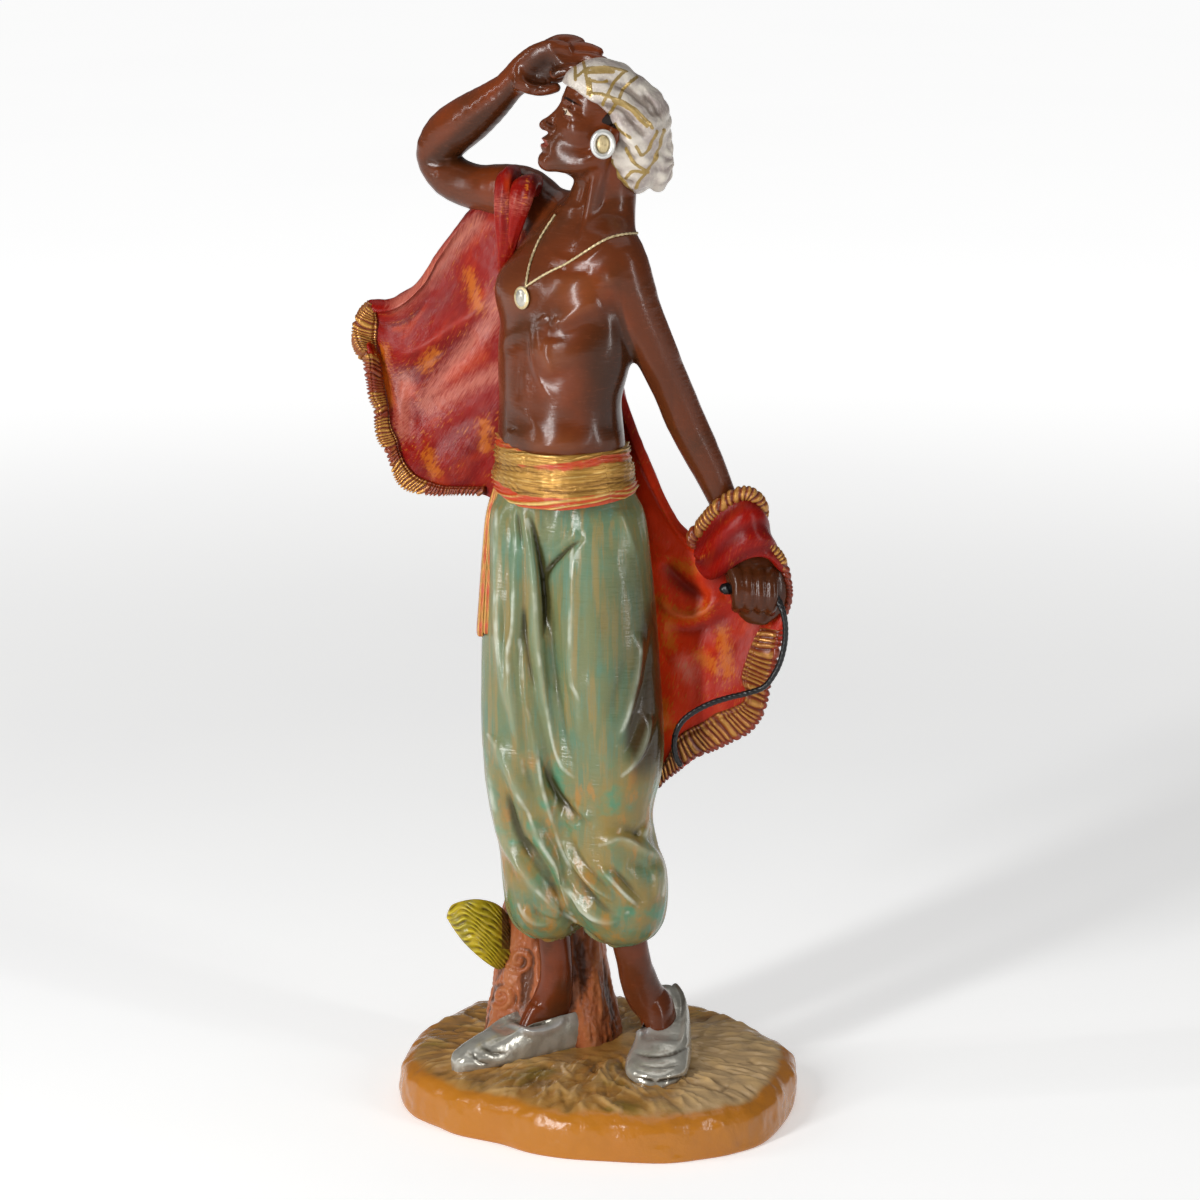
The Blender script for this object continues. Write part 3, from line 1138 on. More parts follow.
trouserLines = drawn([
    (0.7, -1.6, -23.1, 24.8, -22.6, 20.4, -21.7, 14.3),
    (0.8, -2.8, -19.8, 24.5, -18.2, 17.9, -16.8, 11, -15.7, 2.8, -15.4, -3.3, -15.7, -11),
    (0.8, -0.7, -16, 23.7, -15.1, 19),
    (0.65, -2, -4.7, 17.1, -8.5, 14.6, -11.8, 11.6, -14.3, 8.2, -16, 4.4),
    (1.15, 0.83, -5, 18.4, -3.6, 17.6, -4.1, 15.1), (1.79, 0.83, -13.5, 13.2, -10.5, 15.7, -6.3, 19),
    (1, -1.2, -21.7, -1.4, -20.6, -11, -19.5, -18.7, -17.9, -24.8),
    (1, -0.8, -26.7, 0, -26.4, -13.8, -25.6, -24.8),
    (1.66, 1.65, -28.6, 26.1, -28.3, 11, -28.3, -5.5, -27.8, -13.8, -26.7, -23.1, -25.3, -30.8),
    (2.18, 1.81, -31.1, -37.1, -28.6, -39.9, -25.6, -46.8, -23.1, -52.5, -19.5, -59.4),
    (1.28, 0.66, -25.9, 23.4, -25.6, 11, -26.4, 2.8),
    (1.54, 1.98, -23.7, 17.9, -23.9, 5.5, -24.2, -6.9, -25.3, -13.8, -25, -22, -24.2, -30.3, -23.1, -39.1,
     -21.2, -48.4),
    (1.79, 1.98, -20.4, 22, -19.2, 11, -18.4, 2.8, -17.6, -8.2, -16.8, -17.9, -15.1, -28.9, -13.2, -39.1,
     -10.7, -45.7, -7.4, -48.7),
    (1.54, 1.49, -22.6, -11, -22, -17.9, -20.9, -27.5, -18.7, -35.8, -17.3, -44, -16, -52.3, -13.5, -60.5,
     -11.3, -67.7, -8.5, -73.7), (0.9, -0.8, -20.1, -27.5, -18.2, -37.1, -16.8, -45.4),
    (1.76, 1.2, -8, 13.8, -8, 0, -8.2, -11, -8, -22, -6.1, -27.5, -5.8, -41.2),
    (1.76, 0.9, 4.7, 25.3, 7.2, 19.2, 9.6, 12.1), (4, -0.5, 1.1, 11, 0.3, -5.5, -0.3, -22),
    (1.54, 1.65, 11, -8.8, 10.2, -17.1, 8.8, -24.8, 6.9, -32.5, 4.1, -39.9),
    (2.2, -0.6, 7.4, -13.8, 5.5, -20.6, 3.6, -27.5, 2.5, -34.4), (1.66, 0.99, 3.3, -31.6, 2.2, -36.3),
    (1.54, 1.65, 13.8, -31.4, 11.8, -39.1, 9.6, -44, 5.8, -48.4),
    (1.3, -0.8, 11.3, -31.6, 8.8, -38.5, 6.3, -42.6),
    (1.3, -1.6, -16.8, -41.2, -14.9, -48.1, -12.4, -52.8, -9.4, -56.7, -5.8, -60, -2.2, -62.4),
    (1.28, 1.32, -8, -55, -5.8, -57.8, -2.5, -61.1), (1.28, 1.49, -11.3, -58.3, -9.1, -60.8, -5.8, -62.7),
    (1.66, 1.98, -30.8, -41.8, -30, -49.5, -28.6, -56.4, -27.2, -63.3, -25, -68.8, -22.3, -72.9, -18.7,
     -77.8, -15.4, -81.7, -11, -85.8, -7.2, -88.6),
    (2, -0.8, -26.7, -52.3, -24.5, -59.1, -21.7, -65.5, -18.4, -70.4),
    (1.66, 2.64, -20.1, -58.3, -17.9, -63.8, -15.4, -68.5, -12.9, -72.6, -9.9, -77.3, -7.2, -81.4, -4.1,
     -85, -0.8, -87.7, 3, -88.3, 7.4, -86.1),
    (1.3, -1.2, -21.7, -65.5, -18.2, -68.8, -14.9, -73.2, -12.7, -77.6, -11.3, -82),
    (1.02, 1.49, -12.1, -74.2, -10.7, -78.7, -9.4, -82.8, -8.2, -86.4),
    (1.15, 1.81, -10.2, -66.6, -8.5, -71, -6.3, -74.2, -3.6, -77.3, -0.3, -80, 3.6, -82.8),
    (1.4, -0.9, -9.1, -75.9, -6.3, -80.3, -2.5, -83.9),
    (1.15, 1.49, -0.3, -73.4, 3, -77, 6.6, -80.9, 10.2, -84.2), (1.3, -0.6, 3, -73.7, 6.3, -77, 9.6, -80.3),
    (1.66, 2.15, -0.3, -67.4, 4.7, -65.5, 8.5, -66.6, 11.6, -68.8, 15.1, -71),
    (3, -0.9, 1.4, -62.2, 5.8, -62.2, 9.1, -63.8), (1.28, 1.65, 14.9, -73.2, 15.1, -78.1, 14.9, -82.5),
    (2.2, -1.5, 8, -71.5, 11, -73.2, 12.9, -72.6), (1, -1.1, 12.7, -60, 10.5, -63.8, 10.2, -67.7),
    (1.41, 1.32, 13.5, -61.1, 12.1, -65.5, 14, -68.8, 16.2, -73.2, 17.1, -81.1),
    (1.28, 1.32, -22.6, -80.3, -20.4, -83.3),
    (1.28, 1.49, -22.6, -83.6, -20.4, -86.9, -17.6, -88.8, -13.5, -89.1),
    (1.28, 1.49, -17.3, -85, -14.3, -86.6, -11.3, -87.7),
    (0.9, -0.7, -20.4, -84.7, -16.8, -87.2, -13.5, -87.7),
    (1, -1.2, -26.1, -70.4, -24.8, -74.2, -22.8, -77.6), (1.1, -1.4, -11.3, -84.2, -8.5, -88, -6.6, -91.9),
])


def trouserCarving(points, normals):
    # The drawn folds where they show, and long hanging folds behind: sines of the bearing that lean a little.
    across, up = seen(points)
    shown = ease(0.25, -0.15, normals @ away)
    bearing = np.arctan2(points[:, 1] + 5, points[:, 0] + 8)
    hang = np.sin(9 * bearing + 0.03 * points[:, 2]) + 0.6 * np.sin(14 * bearing - 0.05 * points[:, 2] + 1)
    bunch = ease(75, 55, points[:, 2]) * np.sin(26 * bearing + 0.2 * np.sin(5 * bearing)) * 0.5
    lines = [(line, 0.85 * width, 0.8 * tall * min(1, np.ptp(line, axis=0).sum() / 16))
             for line, width, tall in trouserLines]
    beside = [(line + (2.2 * width, width), width, -0.52 * tall) for line, width, tall in lines if tall > 1]
    height = strokes(across, up, lines + beside) * shown + (1 - shown) * (0.7 * hang + bunch)
    turned = 1 - 0.7 * ease(-0.3, 0.05, normals @ away)
    crest = painted(across, up, [line for line, _, tall in lines if tall > 0.8], 0.5) * shown
    low = ease(118, 92, points[:, 2])
    edge = 10.6 + 0.145 * np.clip(up + 5.5, -28, 8)
    shade = ease(edge - 2.5, edge + 4, across) * ease(14, -12, up) * ease(-56, -38, up)
    dusk = ease(-3, 9, across) * ease(20, 2, up) * ease(-56, -30, up) * shown
    values = {"low": low, "shade": shade * shown * turned, "dusk": dusk, "crest": crest}
    return height + 0.08 * lattice(points * (1, 1, 0.3), 1.6, 2), values


def makeTrousers(material):
    # Upright ovals for each leg and for the cloth between, joined with fillets.
    form = startForm((-37, -27, 47), (23, 16, 183), meshSteps["trousers"] * coarse)
    for rows in legs.values():
        addStack(form, rows, 3)
    figurePiece("trousers", skinOfForm(form), material, trouserCarving)


makeTrousers(trouserPaint())
print("trousers made")


def ovalRing(rows, heights, angles, extra=0.0):
    # Places on upright ovals, rows of z, x, y, half breadth, half depth and turn, grown by an extra size.
    rows = np.asarray(rows, float)
    cx, cy, breadth, depth, turn = (np.interp(heights, rows[:, 0], rows[:, k]) for k in range(1, 6))
    cos, sin = np.cos(np.radians(turn)), np.sin(np.radians(turn))
    side, front = (breadth + extra) * np.cos(angles), (depth + extra) * np.sin(angles)
    x, y = cx + side * cos - front * sin, cy - side * sin - front * cos
    return np.stack(np.broadcast_arrays(x, y, heights), -1)


# Sash
sash = {
    "ovals": [(172, -9.6, -5.5, 21.8, 18.4, 57), (176, -9.8, -5.5, 22.2, 18.6, 57),
              (181, -10, -6, 21.6, 18, 57), (186, -10.3, -6.4, 20.6, 17.2, 57),
              (191, -10.7, -6.6, 19.8, 16.4, 57), (196, -10.8, -6.8, 19.4, 16.2, 56)],
    "lowEdge": [(-30, 177.5), (-22, 175), (-11, 175.3), (11, 178)],
    "highEdge": [(-30, 193), (-22, 191), (-11, 190.4), (11, 191)],
    "profile": [(0.02, -5), (0, -1), (0.03, 0), (0.12, 0.5), (0.5, 0.4), (0.9, 0.7), (0.98, 0.1), (1, -0.8),
                (0.97, -4)],
    "strand": 1.25, "band": 6.2, "radius": 19, "middle": 182,
    "tails": [
        [(-28.6, -4, 177, 1.3, 0.9), (-30.6, -5.8, 170, 1.4, 0.9), (-31.6, -6.4, 160, 1.4, 0.9),
         (-32.8, -7, 144, 1.5, 0.9), (-33.1, -7, 138, 1.7, 1), (-33.1, -7, 136.4, 1.4, 0.8)],
        [(-27.4, -5, 177, 1.1, 0.9), (-29.2, -7, 170, 1.3, 0.9), (-30.2, -7.8, 160, 1.3, 0.9),
         (-31.1, -8.2, 146, 1.4, 0.9), (-31.4, -8.4, 139, 1.4, 1), (-31.4, -8.4, 137.4, 1.1, 0.8)]],
}


def makeSash(material):
    # A profile carried round the waist's ovals, stretched between a low and a high edge.
    angles = around(460)
    profile = along(sash["profile"], np.linspace(0, 1, int(84 / coarse)))
    middle = ovalRing(sash["ovals"], np.full(len(angles), float(sash["middle"])), angles)
    low = np.interp(middle[:, 0], *zip(*sash["lowEdge"]))
    high = np.interp(middle[:, 0], *zip(*sash["highEdge"]))
    heights = low + (high - low) * profile[:, :1]
    rings = ovalRing(sash["ovals"], heights, angles[None], profile[:, 1:2])
    shell = closedTube(rings)
    run = capped(np.broadcast_to(angles * sash["radius"], heights.shape))
    share = capped(np.broadcast_to(profile[:, :1], heights.shape), 1)

    def carving(points, normals):
        # Strands: a wave up the sash that leans a little as it goes round, over broader twisted bands.
        z = points[:, 2] + 0.5 * np.sin(run / 9.5)
        lean = 0.09 * np.minimum(run, 2 * math.pi * sash["radius"] - run)
        band = np.cos(2 * math.pi * (z + 1.4 * lean) / sash["band"])
        drift = 0.8 * lattice(points * (0.3, 0.3, 1), 3.2, 3)
        strand = 1 - 2 * np.abs(np.sin(math.pi * (z + 1.4 * lean + drift) / sash["strand"])) ** 1.3
        edge = ease(0, 0.05, share) * ease(1, 0.95, share)
        height = (0.34 * strand + 0.24 * band + 0.08 * lattice(points, 1.2, 8)) * edge
        red = ease(0.3, 0.16, share) + 0.6 * ease(0.3, -0.5, band) * ease(0.55, 0.8, share)
        return height, {"red": np.clip(red, 0, 1)}

    flow = np.stack([run, shell[0][:, 2], np.zeros(len(run))], 1) * unit
    figurePiece("sash", shell, material, carving, {"flow": flow})
    for number, rows in enumerate(sash["tails"]):
        path, length = spaced(rows, 0.35 * coarse)
        angles = around(40)
        wave = np.cos(5 * angles[None] + 0.02 * length[:, None]) * 0.16
        shell = flutedTube(path, (0.3, -0.95, 0), angles, 1 + wave / 2)
        values = {"flow": tubeFlow(length, angles), "relief": capped(2 * wave),
                  "red": np.full(len(shell[0]), 0.52)}
        figurePiece(f"sashTail{number + 1}", shell, material, values=values)


makeSash(sashPaint())
print("sash made")


# Slippers: rows of x, y, half width and top height, from heel or toe on
slippers = {
    "sole": 16.5, "under": 3.2,
    "right": [(-3.8, 9.2, 0.8, 19), (-4.6, 8.6, 2.6, 23), (-6.6, 7, 5.4, 26.5), (-11, 3.6, 6.6, 26.8),
              (-17, -0.6, 6.8, 26.6), (-23.5, -5.4, 6.9, 26.2), (-30, -10.4, 6.6, 23.2),
              (-36, -14.6, 5.6, 20.8), (-39.6, -17, 3.8, 19), (-41.2, -18, 1.4, 17.4)],
    "left": [(17.4, 12.8, 0.8, 25), (17.5, 12, 2.8, 30), (17.8, 9.8, 4.8, 32.8), (18.8, 4, 6.4, 31),
             (18.6, -4, 7, 28), (17.4, -12, 8, 26), (16, -19, 8.8, 23), (15.2, -25, 8.6, 20.8),
             (15, -29, 6.9, 19.2), (15, -31.4, 4, 17.8), (15, -32.2, 1.4, 17)],
    "lines": drawn([
        (0.9, 0.9, -26.4, -116.6, -19, -118.6, -13, -117.4, -9.6, -114.6),
        (0.6, -0.8, -25.4, -115, -19, -117, -13.6, -115.8),
        (0.6, -0.5, -33.6, -121.6, -30, -124.4, -26, -124.8),
        (0.6, -0.5, -36.6, -123.4, -33.4, -127, -29.4, -128),
        (0.9, 0.9, 8, -118.3, 11.6, -119, 14.6, -116.8, 17.4, -110.6, 19, -105.9),
        (0.6, -0.8, 8.6, -116.8, 11.6, -117.4, 13.6, -115.4),
        (0.6, -0.6, 8.4, -124.4, 14, -125.4, 20, -124.6, 25, -122.4),
        (0.5, -0.4, 9.6, -127.6, 16, -128.4, 23, -127.2), (0.5, -0.7, 8.6, -131.2, 16, -132.4, 24, -131),
    ]),
}


def makeSlipper(name, material):
    # Sections across the foot's line: powers of cosine and sine, low under the sole, high over it and
    # dished at the opening.
    rows = [(x, y, 0, half, top) for x, y, half, top in slippers[name]]
    path, _ = spaced(rows, 0.45 * coarse)
    run = unitRows(np.gradient(path[:, :2], axis=0))
    angles = around(130)
    cos, sin = np.cos(angles), np.sin(angles)
    opening = ease(22.5, 26, path[:, 4:5])
    wide = np.sign(cos) * np.abs(cos) ** (0.7 - 0.24 * opening) * path[:, 3:4]
    rise = np.where(sin > 0, (path[:, 4:5] - slippers["sole"]) * np.abs(sin) ** 0.9, slippers["under"] * sin)
    rise = rise - 3 * opening * ease(0.8, 0.98, sin) * ease(0, 3, path[:, 3:4])
    x = path[:, :1] + wide * run[:, 1:]
    y = path[:, 1:2] - wide * run[:, :1]

    def carving(points, normals):
        height = strokes(*seen(points), slippers["lines"]) * ease(0.5, 0, normals @ away)
        return height + 0.07 * lattice(points, 2.2, 6), {}

    shell = closedTube(np.stack([x, y, slippers["sole"] + rise], -1))
    figurePiece(name + "Slipper", shell, material, carving)


silver = silverPaint()
for name in ("right", "left"):
    makeSlipper(name, silver)

# Stump and the leaf beside it
stump = {
    "rows": [(11, -14, 10, 20.5, 14, 0), (19, -14, 10.5, 19, 13, 0), (28, -14, 11, 17, 11.5, 0),
             (38, -13.8, 11.5, 15.6, 10.5, 0), (50, -14, 12, 14, 10, 0), (62, -15, 11.5, 10, 8.5, 0)],
    "whorls": [(-27.4, -109, 5.6), (-22.4, -99, 5.2), (-29, -118, 4)],
}


def makeStump(material):
    # Upright ovals, level by level.
    angles = around(420)
    levels = np.linspace(11, 62, int(110 / coarse))[:, None]
    bearing = capped(np.tile(angles, len(levels)))

    def carving(points, normals):
        # Bark: waves round the stump that drift with height, grain drawn out upwards, and whorls like knots.
        across, up = seen(points)
        z = points[:, 2]
        height = 0.5 * np.sin(7 * bearing + 0.1 * z) + 0.25 * np.sin(11 * bearing - 0.17 * z)
        grain = lattice(points * (1, 1, 0.22), 1.3, 5)
        for a, b, size in stump["whorls"]:
            reach = np.hypot(across - a, up - b)
            near = ease(size, 0.6 * size, reach) * (normals @ away < 0.2)
            spiral = np.cos(2 * math.pi * reach / 2.6 + np.arctan2(up - b, across - a))
            grain = grain * (1 - near) + near * spiral
        return height + 0.38 * grain + 0.16 * lattice(points, 0.9, 7), {}

    figurePiece("stump", closedTube(ovalRing(stump["rows"], levels, angles[None])), material, carving)


leaf = {
    # Across, up and depth as the camera sees them
    "upper": [(-42.4, -86.4, 3), (-41, -83.9, 2.4), (-37.4, -82.6, 2), (-33.3, -82.3, 2.6), (-28.6, -83.6, 5),
              (-25.6, -86.6, 8), (-23.9, -90.8, 11)],
    "lower": [(-42.2, -87.4, 3), (-40.9, -89.9, 1.6), (-37.9, -94, 0.4), (-34, -97.8, 0.6), (-30, -100.8, 3),
              (-27.4, -101.5, 6), (-24.6, -99, 9)],
    "thick": 2.4, "rib": 1.5,
}


def makeLeaf(material):
    # A thick sheet between two edges that bows forwards, with sine ribs along its veins.
    u, v = shares(90, 120)
    upper, lower = along(placedRows(leaf["upper"]), u), along(placedRows(leaf["lower"]), u)
    middle = upper * (1 - v[..., None]) + lower * v[..., None]
    middle[..., 1] -= 3.2 * np.sin(math.pi * v) * (0.4 + 0.6 * u)
    half = np.array([0, leaf["thick"] / 2, 0]) * rounded(v, 6)[..., None]
    across, up = seen(middle)
    bend = 0.3 * (across + 36) + 0.05 * (across + 36) ** 2 + 0.7 * np.sin(0.8 * across + 0.4 * up)
    ribs = np.sin(2 * math.pi * (up + bend) / leaf["rib"]) * (0.7 + 0.3 * np.sin(1.3 * across - 0.8 * up))
    ribs *= ease(0, 0.05, v) * ease(1, 0.95, v)
    front = middle - half - np.array([0, 0.3, 0]) * ribs[..., None]
    shell = closedSheet(front, middle + half)
    across, up = seen(shell[0])
    inner = ease(-28.5, -26, across) * (up > -96)
    figurePiece("leaf", shell, material, values={"relief": inSheet(0.5 * ribs, 0 * ribs), "inner": inner})


makeStump(barkPaint())
makeLeaf(leafPaint())

# Ground
ground = {
    "width": 113, "depth": 106,
    "outline": [(0.98, 0.1), (0.88, 0.34), (0.76, 0.54), (0.6, 0.74), (0.37, 0.92), (0, 1), (-0.35, 0.99),
                (-0.62, 0.95), (-0.82, 0.7), (-0.96, 0.34), (-1.01, 0), (-0.95, -0.3), (-0.8, -0.5),
                (-0.7, -0.61), (-0.5, -0.73), (-0.35, -0.86), (-0.18, -0.94), (0.02, -0.98), (0.3, -1.01),
                (0.5, -0.95), (0.65, -0.87), (0.8, -0.72), (0.91, -0.43), (0.97, -0.15), (0.98, 0.1)],
    "profile": [(0, 54), (0.3, 54.8), (2.1, 55.2), (8.4, 54.8), (11.2, 53.4), (13, 50.6), (13.9, 46.6),
                (14.4, 40), (14.7, 30), (15, 18), (15, 1)],
    "widest": 55.2, "tufts": 620, "seed": 5,
}


def tuftLines():
    # Strokes of grass that start round the middle and curve outwards, some raised and some cut in.
    chance = np.random.default_rng(ground["seed"])
    lines = []
    for _ in range(ground["tufts"]):
        bearing, reach = chance.uniform(0, 2 * math.pi), chance.uniform(0.2, 0.93)
        x = reach * 0.5 * ground["width"] * math.cos(bearing)
        y = reach * 0.5 * ground["depth"] * math.sin(bearing)
        heading, bend = bearing + chance.normal(0, 0.45), chance.normal(0, 0.16)
        line = [(x, y)]
        for _ in range(3):
            x, y = x + 4.4 * math.cos(heading), y + 4.4 * math.sin(heading)
            heading += bend
            line.append((x, y))
        lines.append((line, chance.uniform(0.35, 0.9), chance.choice([0.25, 0.5, -0.4])))
    return lines


def makeGround(material):
    # The outline, drawn in by a profile that rises at the side and then runs to the middle.
    outline = np.array(ground["outline"]) * (ground["width"] / 2, ground["depth"] / 2)
    edge, _ = spaced(outline, 0.62 * coarse)
    profile, _ = spaced(ground["profile"], 0.52 * coarse)
    flat = edge[None, :-1] * (profile[:, 1] / ground["widest"])[:, None, None]
    heights = np.broadcast_to(profile[:, :1], flat.shape[:2])[..., None]

    def carving(points, normals):
        top = ease(11, 14.4, points[:, 2])
        height = strokes(points[:, 0], points[:, 1], tuftLines()) * ease(12, 14.2, points[:, 2])
        lumps = 0.55 * lattice(points, 9, 11) + 0.3 * lattice(points, 3, 12)
        height += lumps * ease(0.4, 2.5, points[:, 2])
        worn = ease(8, 34, points[:, 0]) * ease(34, 16, points[:, 1])
        return height, {"top": top, "worn": worn}

    figurePiece("ground", closedTube(np.concatenate([flat, heights], -1)), material, carving)


makeGround(groundPaint())
print("slippers, stump, leaf and ground made")


# Cloak
cloak = {
    "upper": [(-65, 24, 223.6), (-57.2, 24, 224.8), (-50.2, 23, 230.6), (-44.2, 22, 239.9), (-37.4, 20, 249),
              (-29.8, 16, 254.9), (-20.7, 13, 256), (-10.7, 13, 244.7), (-1, 12, 221.4), (6.4, 9, 200.6),
              (13, 6, 183.4), (20.4, 3, 168), (27.6, 1, 161), (37.4, 1, 157.4), (48.6, -2, 157)],
    "lower": [(-64.8, 24, 212.5), (-62.6, 24, 200.9), (-60.4, 23, 188.3), (-56.2, 22, 178.2),
              (-49.8, 21, 172.8), (-40.9, 20, 170.6), (-29.6, 19, 170), (-15.7, 18, 156.9),
              (-0.3, 15, 130.1), (11, 9, 106), (17.4, 4, 93), (30.2, 1, 102), (41, -1, 111.6),
              (47.2, -2, 127.4), (51, -3.4, 139.4)],
    "thick": 3, "roll": 1.5,
    "lines": drawn([
        (2, 1.3, -57.2, 66.3, -53.9, 67.7, -50.3, 69, -44.3, 72.9, -38.2, 77, -31.9, 80.3),
        (3.2, -0.9, -55.3, 62.2, -48.4, 65.2, -41.5, 69.3, -33.8, 73.2),
        (4, 1, -50.9, 54.5, -41.5, 62.4, -33.3, 69.9, -28.3, 75.6),
        (2, 0.6, -54.2, 61.1, -54.7, 53.6, -54.5, 46.2),
        (4, -0.9, -55.3, 75.6, -47, 79.2, -40.2, 85.2, -34.4, 93),
        (3, -0.6, -48.4, 38, -41.5, 46.2, -32.7, 51.7), (1.2, 0.5, -59.7, 70.1, -59.1, 61.9, -58, 53.6),
        (2.2, -1.7, 16.8, 11, 20.4, 6.3, 25, 2.2, 30, 0),
        (1.4, 1.6, 15.4, 0.8, 19.5, -3, 24.5, -4.4, 28.9, -2.8, 33.8, 1.4),
        (3, -1.2, 17.3, -7.7, 24.5, -8.8, 31.4, -6.3, 37.4, -2.8),
        (3.4, 0.9, 18.4, -17.1, 24.5, -14.3, 31.6, -15.7), (2, 1, 14.9, -30.3, 17.3, -35.2),
        (2.6, 0.7, 12.1, 26.1, 14.6, 17.9, 18.4, 13.8),
    ]),
    "glow": [
        (-36.6, 89.4, -33.8, 80.9), (-48.7, 64.4, -45.9, 67.7), (-32.2, 48.4, -31.6, 42.4),
        (-47.6, 39.9, -45.7, 35.2), (-60, 68.8, -59.7, 61.9, -58.6, 54.5), (20.4, 9.6, 25, 8.5),
        (16.2, 0, 20.1, -3.3, 24.5, -4.4, 28.9, -2.5), (18.4, -3.3, 19, -12.4), (33.3, -8.8, 34.9, -19.8),
        (27.2, -15.1, 31.6, -18.7), (17.1, -28.6, 18.4, -34.4),
    ],
    "pale": [
        (-48.4, 54.5, -42.9, 61.3, -36, 69.6, -30.5, 76.5, -28.3, 82.5),
        (-47, 53.1, -36.6, 58.9, -28.9, 62.7), (-54.2, 60.5, -54.7, 46.2),
        (-55.8, 81.4, -47, 89.7, -40.7, 97.6, -34.4, 103.4), (22.6, -17.6, 23.9, -19.8),
    ],
}


def sheetNormals(grid):
    # The cross product of a grid's two slopes.
    return unitRows(np.cross(np.gradient(grid, axis=1), np.gradient(grid, axis=0)))


def cloakBulge(u, v):
    # Swells of the cloth: slow waves that turn with height near the left end, and quicker ones at the right.
    left = 4.5 * np.sin(math.pi * v) + 2.2 * np.sin(3.2 * math.pi * (v + 0.35 * u)) * v
    right = np.clip((u - 0.6) / 0.4, 0, 1) * 2.6 * np.sin(2.6 * math.pi * (v - 0.3 * u)) * v
    return np.clip(1 - u / 0.42, 0, 1) * left + right


def cloakSurface(u, v):
    # The middle of the cloth at shares of its length and of its fall.
    middle = along(cloak["upper"], u) * (1 - v[..., None]) + along(cloak["lower"], u) * v[..., None]
    middle[..., 1] += cloakBulge(u, v)
    return middle


def flowOf(grid):
    # Lengths along and across a sheet, for paint that follows it.
    along0 = np.linalg.norm(np.diff(grid, axis=0), axis=2).mean(1)
    along1 = np.linalg.norm(np.diff(grid, axis=1), axis=2).mean(0)
    first = np.concatenate([[0], np.cumsum(along0)])[:, None] + np.zeros(grid.shape[1])
    second = np.concatenate([[0], np.cumsum(along1)])[None] + np.zeros((grid.shape[0], 1))
    return np.stack([first + 0.6 * second, second, np.zeros(first.shape)], -1)


def makeCloak(material):
    # The cloth made thick, with a roll just under its upper edge.
    u, v = shares(330, 120)
    middle = cloakSurface(u, v)
    normal = sheetNormals(middle)
    flow = flowOf(middle)
    half = cloak["thick"] / 2 + cloak["roll"] * bell(flow[..., 1] - 2.2, 2)
    half = normal * (half * (rounded(v, 14) * rounded(u, 30)))[..., None]

    def carving(points, normals):
        across, up = seen(points)
        shown = ease(0.3, -0.2, normals @ away)
        place, fall = inSheet(u), inSheet(v)
        hang = np.sin(34 * place + 5 * fall) * ease(0, 0.3, fall)
        hang += 0.5 * np.sin(61 * place - 7 * fall + 2)
        height = strokes(across, up, cloak["lines"]) * shown + 0.8 * hang * (1 - shown)
        glow = painted(across, up, cloak["glow"], 2.6) * shown
        pale = painted(across, up, cloak["pale"], 3.4) * shown
        shades = [0.7 * bell(np.hypot((across - 24) / 2, up - 3.5), 2.4) * (up > -1.5),
                  0.9 * bell(np.hypot(across - 42.5, up + 4.5), 3.4),
                  bell(np.hypot(across - 49, (up - 2) / 2), 3.6)]
        fresh = ease(6, 14, across) * ease(60, 30, up) * (1 - 0.75 * ease(21, 32, across))
        values = {"glow": glow, "pale": pale, "shade": np.max(shades, 0) * shown, "fresh": fresh * shown}
        return height + 0.1 * lattice(points, 2, 13), values

    figurePiece("cloak", closedSheet(middle + half, middle - half), material, carving,
                {"flow": inSheet(flow) * unit})


def pleatedBand(name, outer, inner, pitch, ridge, material, goldPlaces=None):
    # A frilled band between two lines. Pleats: |sin| ridges across it, which run a little past one line.
    outer, run = spaced(outer, 0.2 * coarse)
    inner, _ = spaced(inner, 0.05)
    inner = inner[np.linspace(0, len(inner) - 1, len(outer)).astype(int)]
    share = np.linspace(0, 1, int(24 / coarse) + 2)[None]
    uneven = run + 0.55 * np.sin(run / 2.3) + 0.3 * np.sin(run / 0.9 + 1)
    wave = np.abs(np.sin(math.pi * (uneven[:, None] + 0.4 * np.sin(3 * share + run[:, None] / 3)) / pitch))
    middle = outer[:, None] * (1 - share[..., None]) + inner[:, None] * share[..., None]
    frill = (0.9 * (wave - 0.4) * ease(0.35, 0, share))[..., None]
    middle = middle + frill * unitRows(outer - inner)[:, None]
    facing = sheetNormals(middle)
    facing = facing * -np.sign((facing @ away).mean())
    body = rounded(share, 6)
    ends = ease(0, 1, run) * ease(run[-1], run[-1] - 1, run)
    seam = 1 - 0.4 * bell(share - 0.86, 0.05) - 0.25 * bell(share - 0.14, 0.04)
    half = facing * ((hems["thick"] / 2 + ridge * (wave - 0.5)) * body * ends[:, None] * seam)[..., None]
    shell = closedSheet(middle + half, middle - half)
    relief = 1.1 * (wave - 0.5) * body * seam
    flow = np.stack([run[:, None] + 0 * wave, 6 * share + 0 * wave, 0 * wave], -1)
    gold = inSheet(0.54 * ease(0.1, 0.18, share) + 0 * wave)
    if goldPlaces:
        across, up = seen(shell[0])
        near = [ease(1.3 * size, 0.7 * size, np.hypot(across - a, up - b)) for a, b, size in goldPlaces]
        gold = 0.36 + 0.64 * np.max(near, 0)
    figurePiece(name, shell, material,
                values={"flow": inSheet(flow) * unit, "relief": inSheet(relief), "gold": gold})


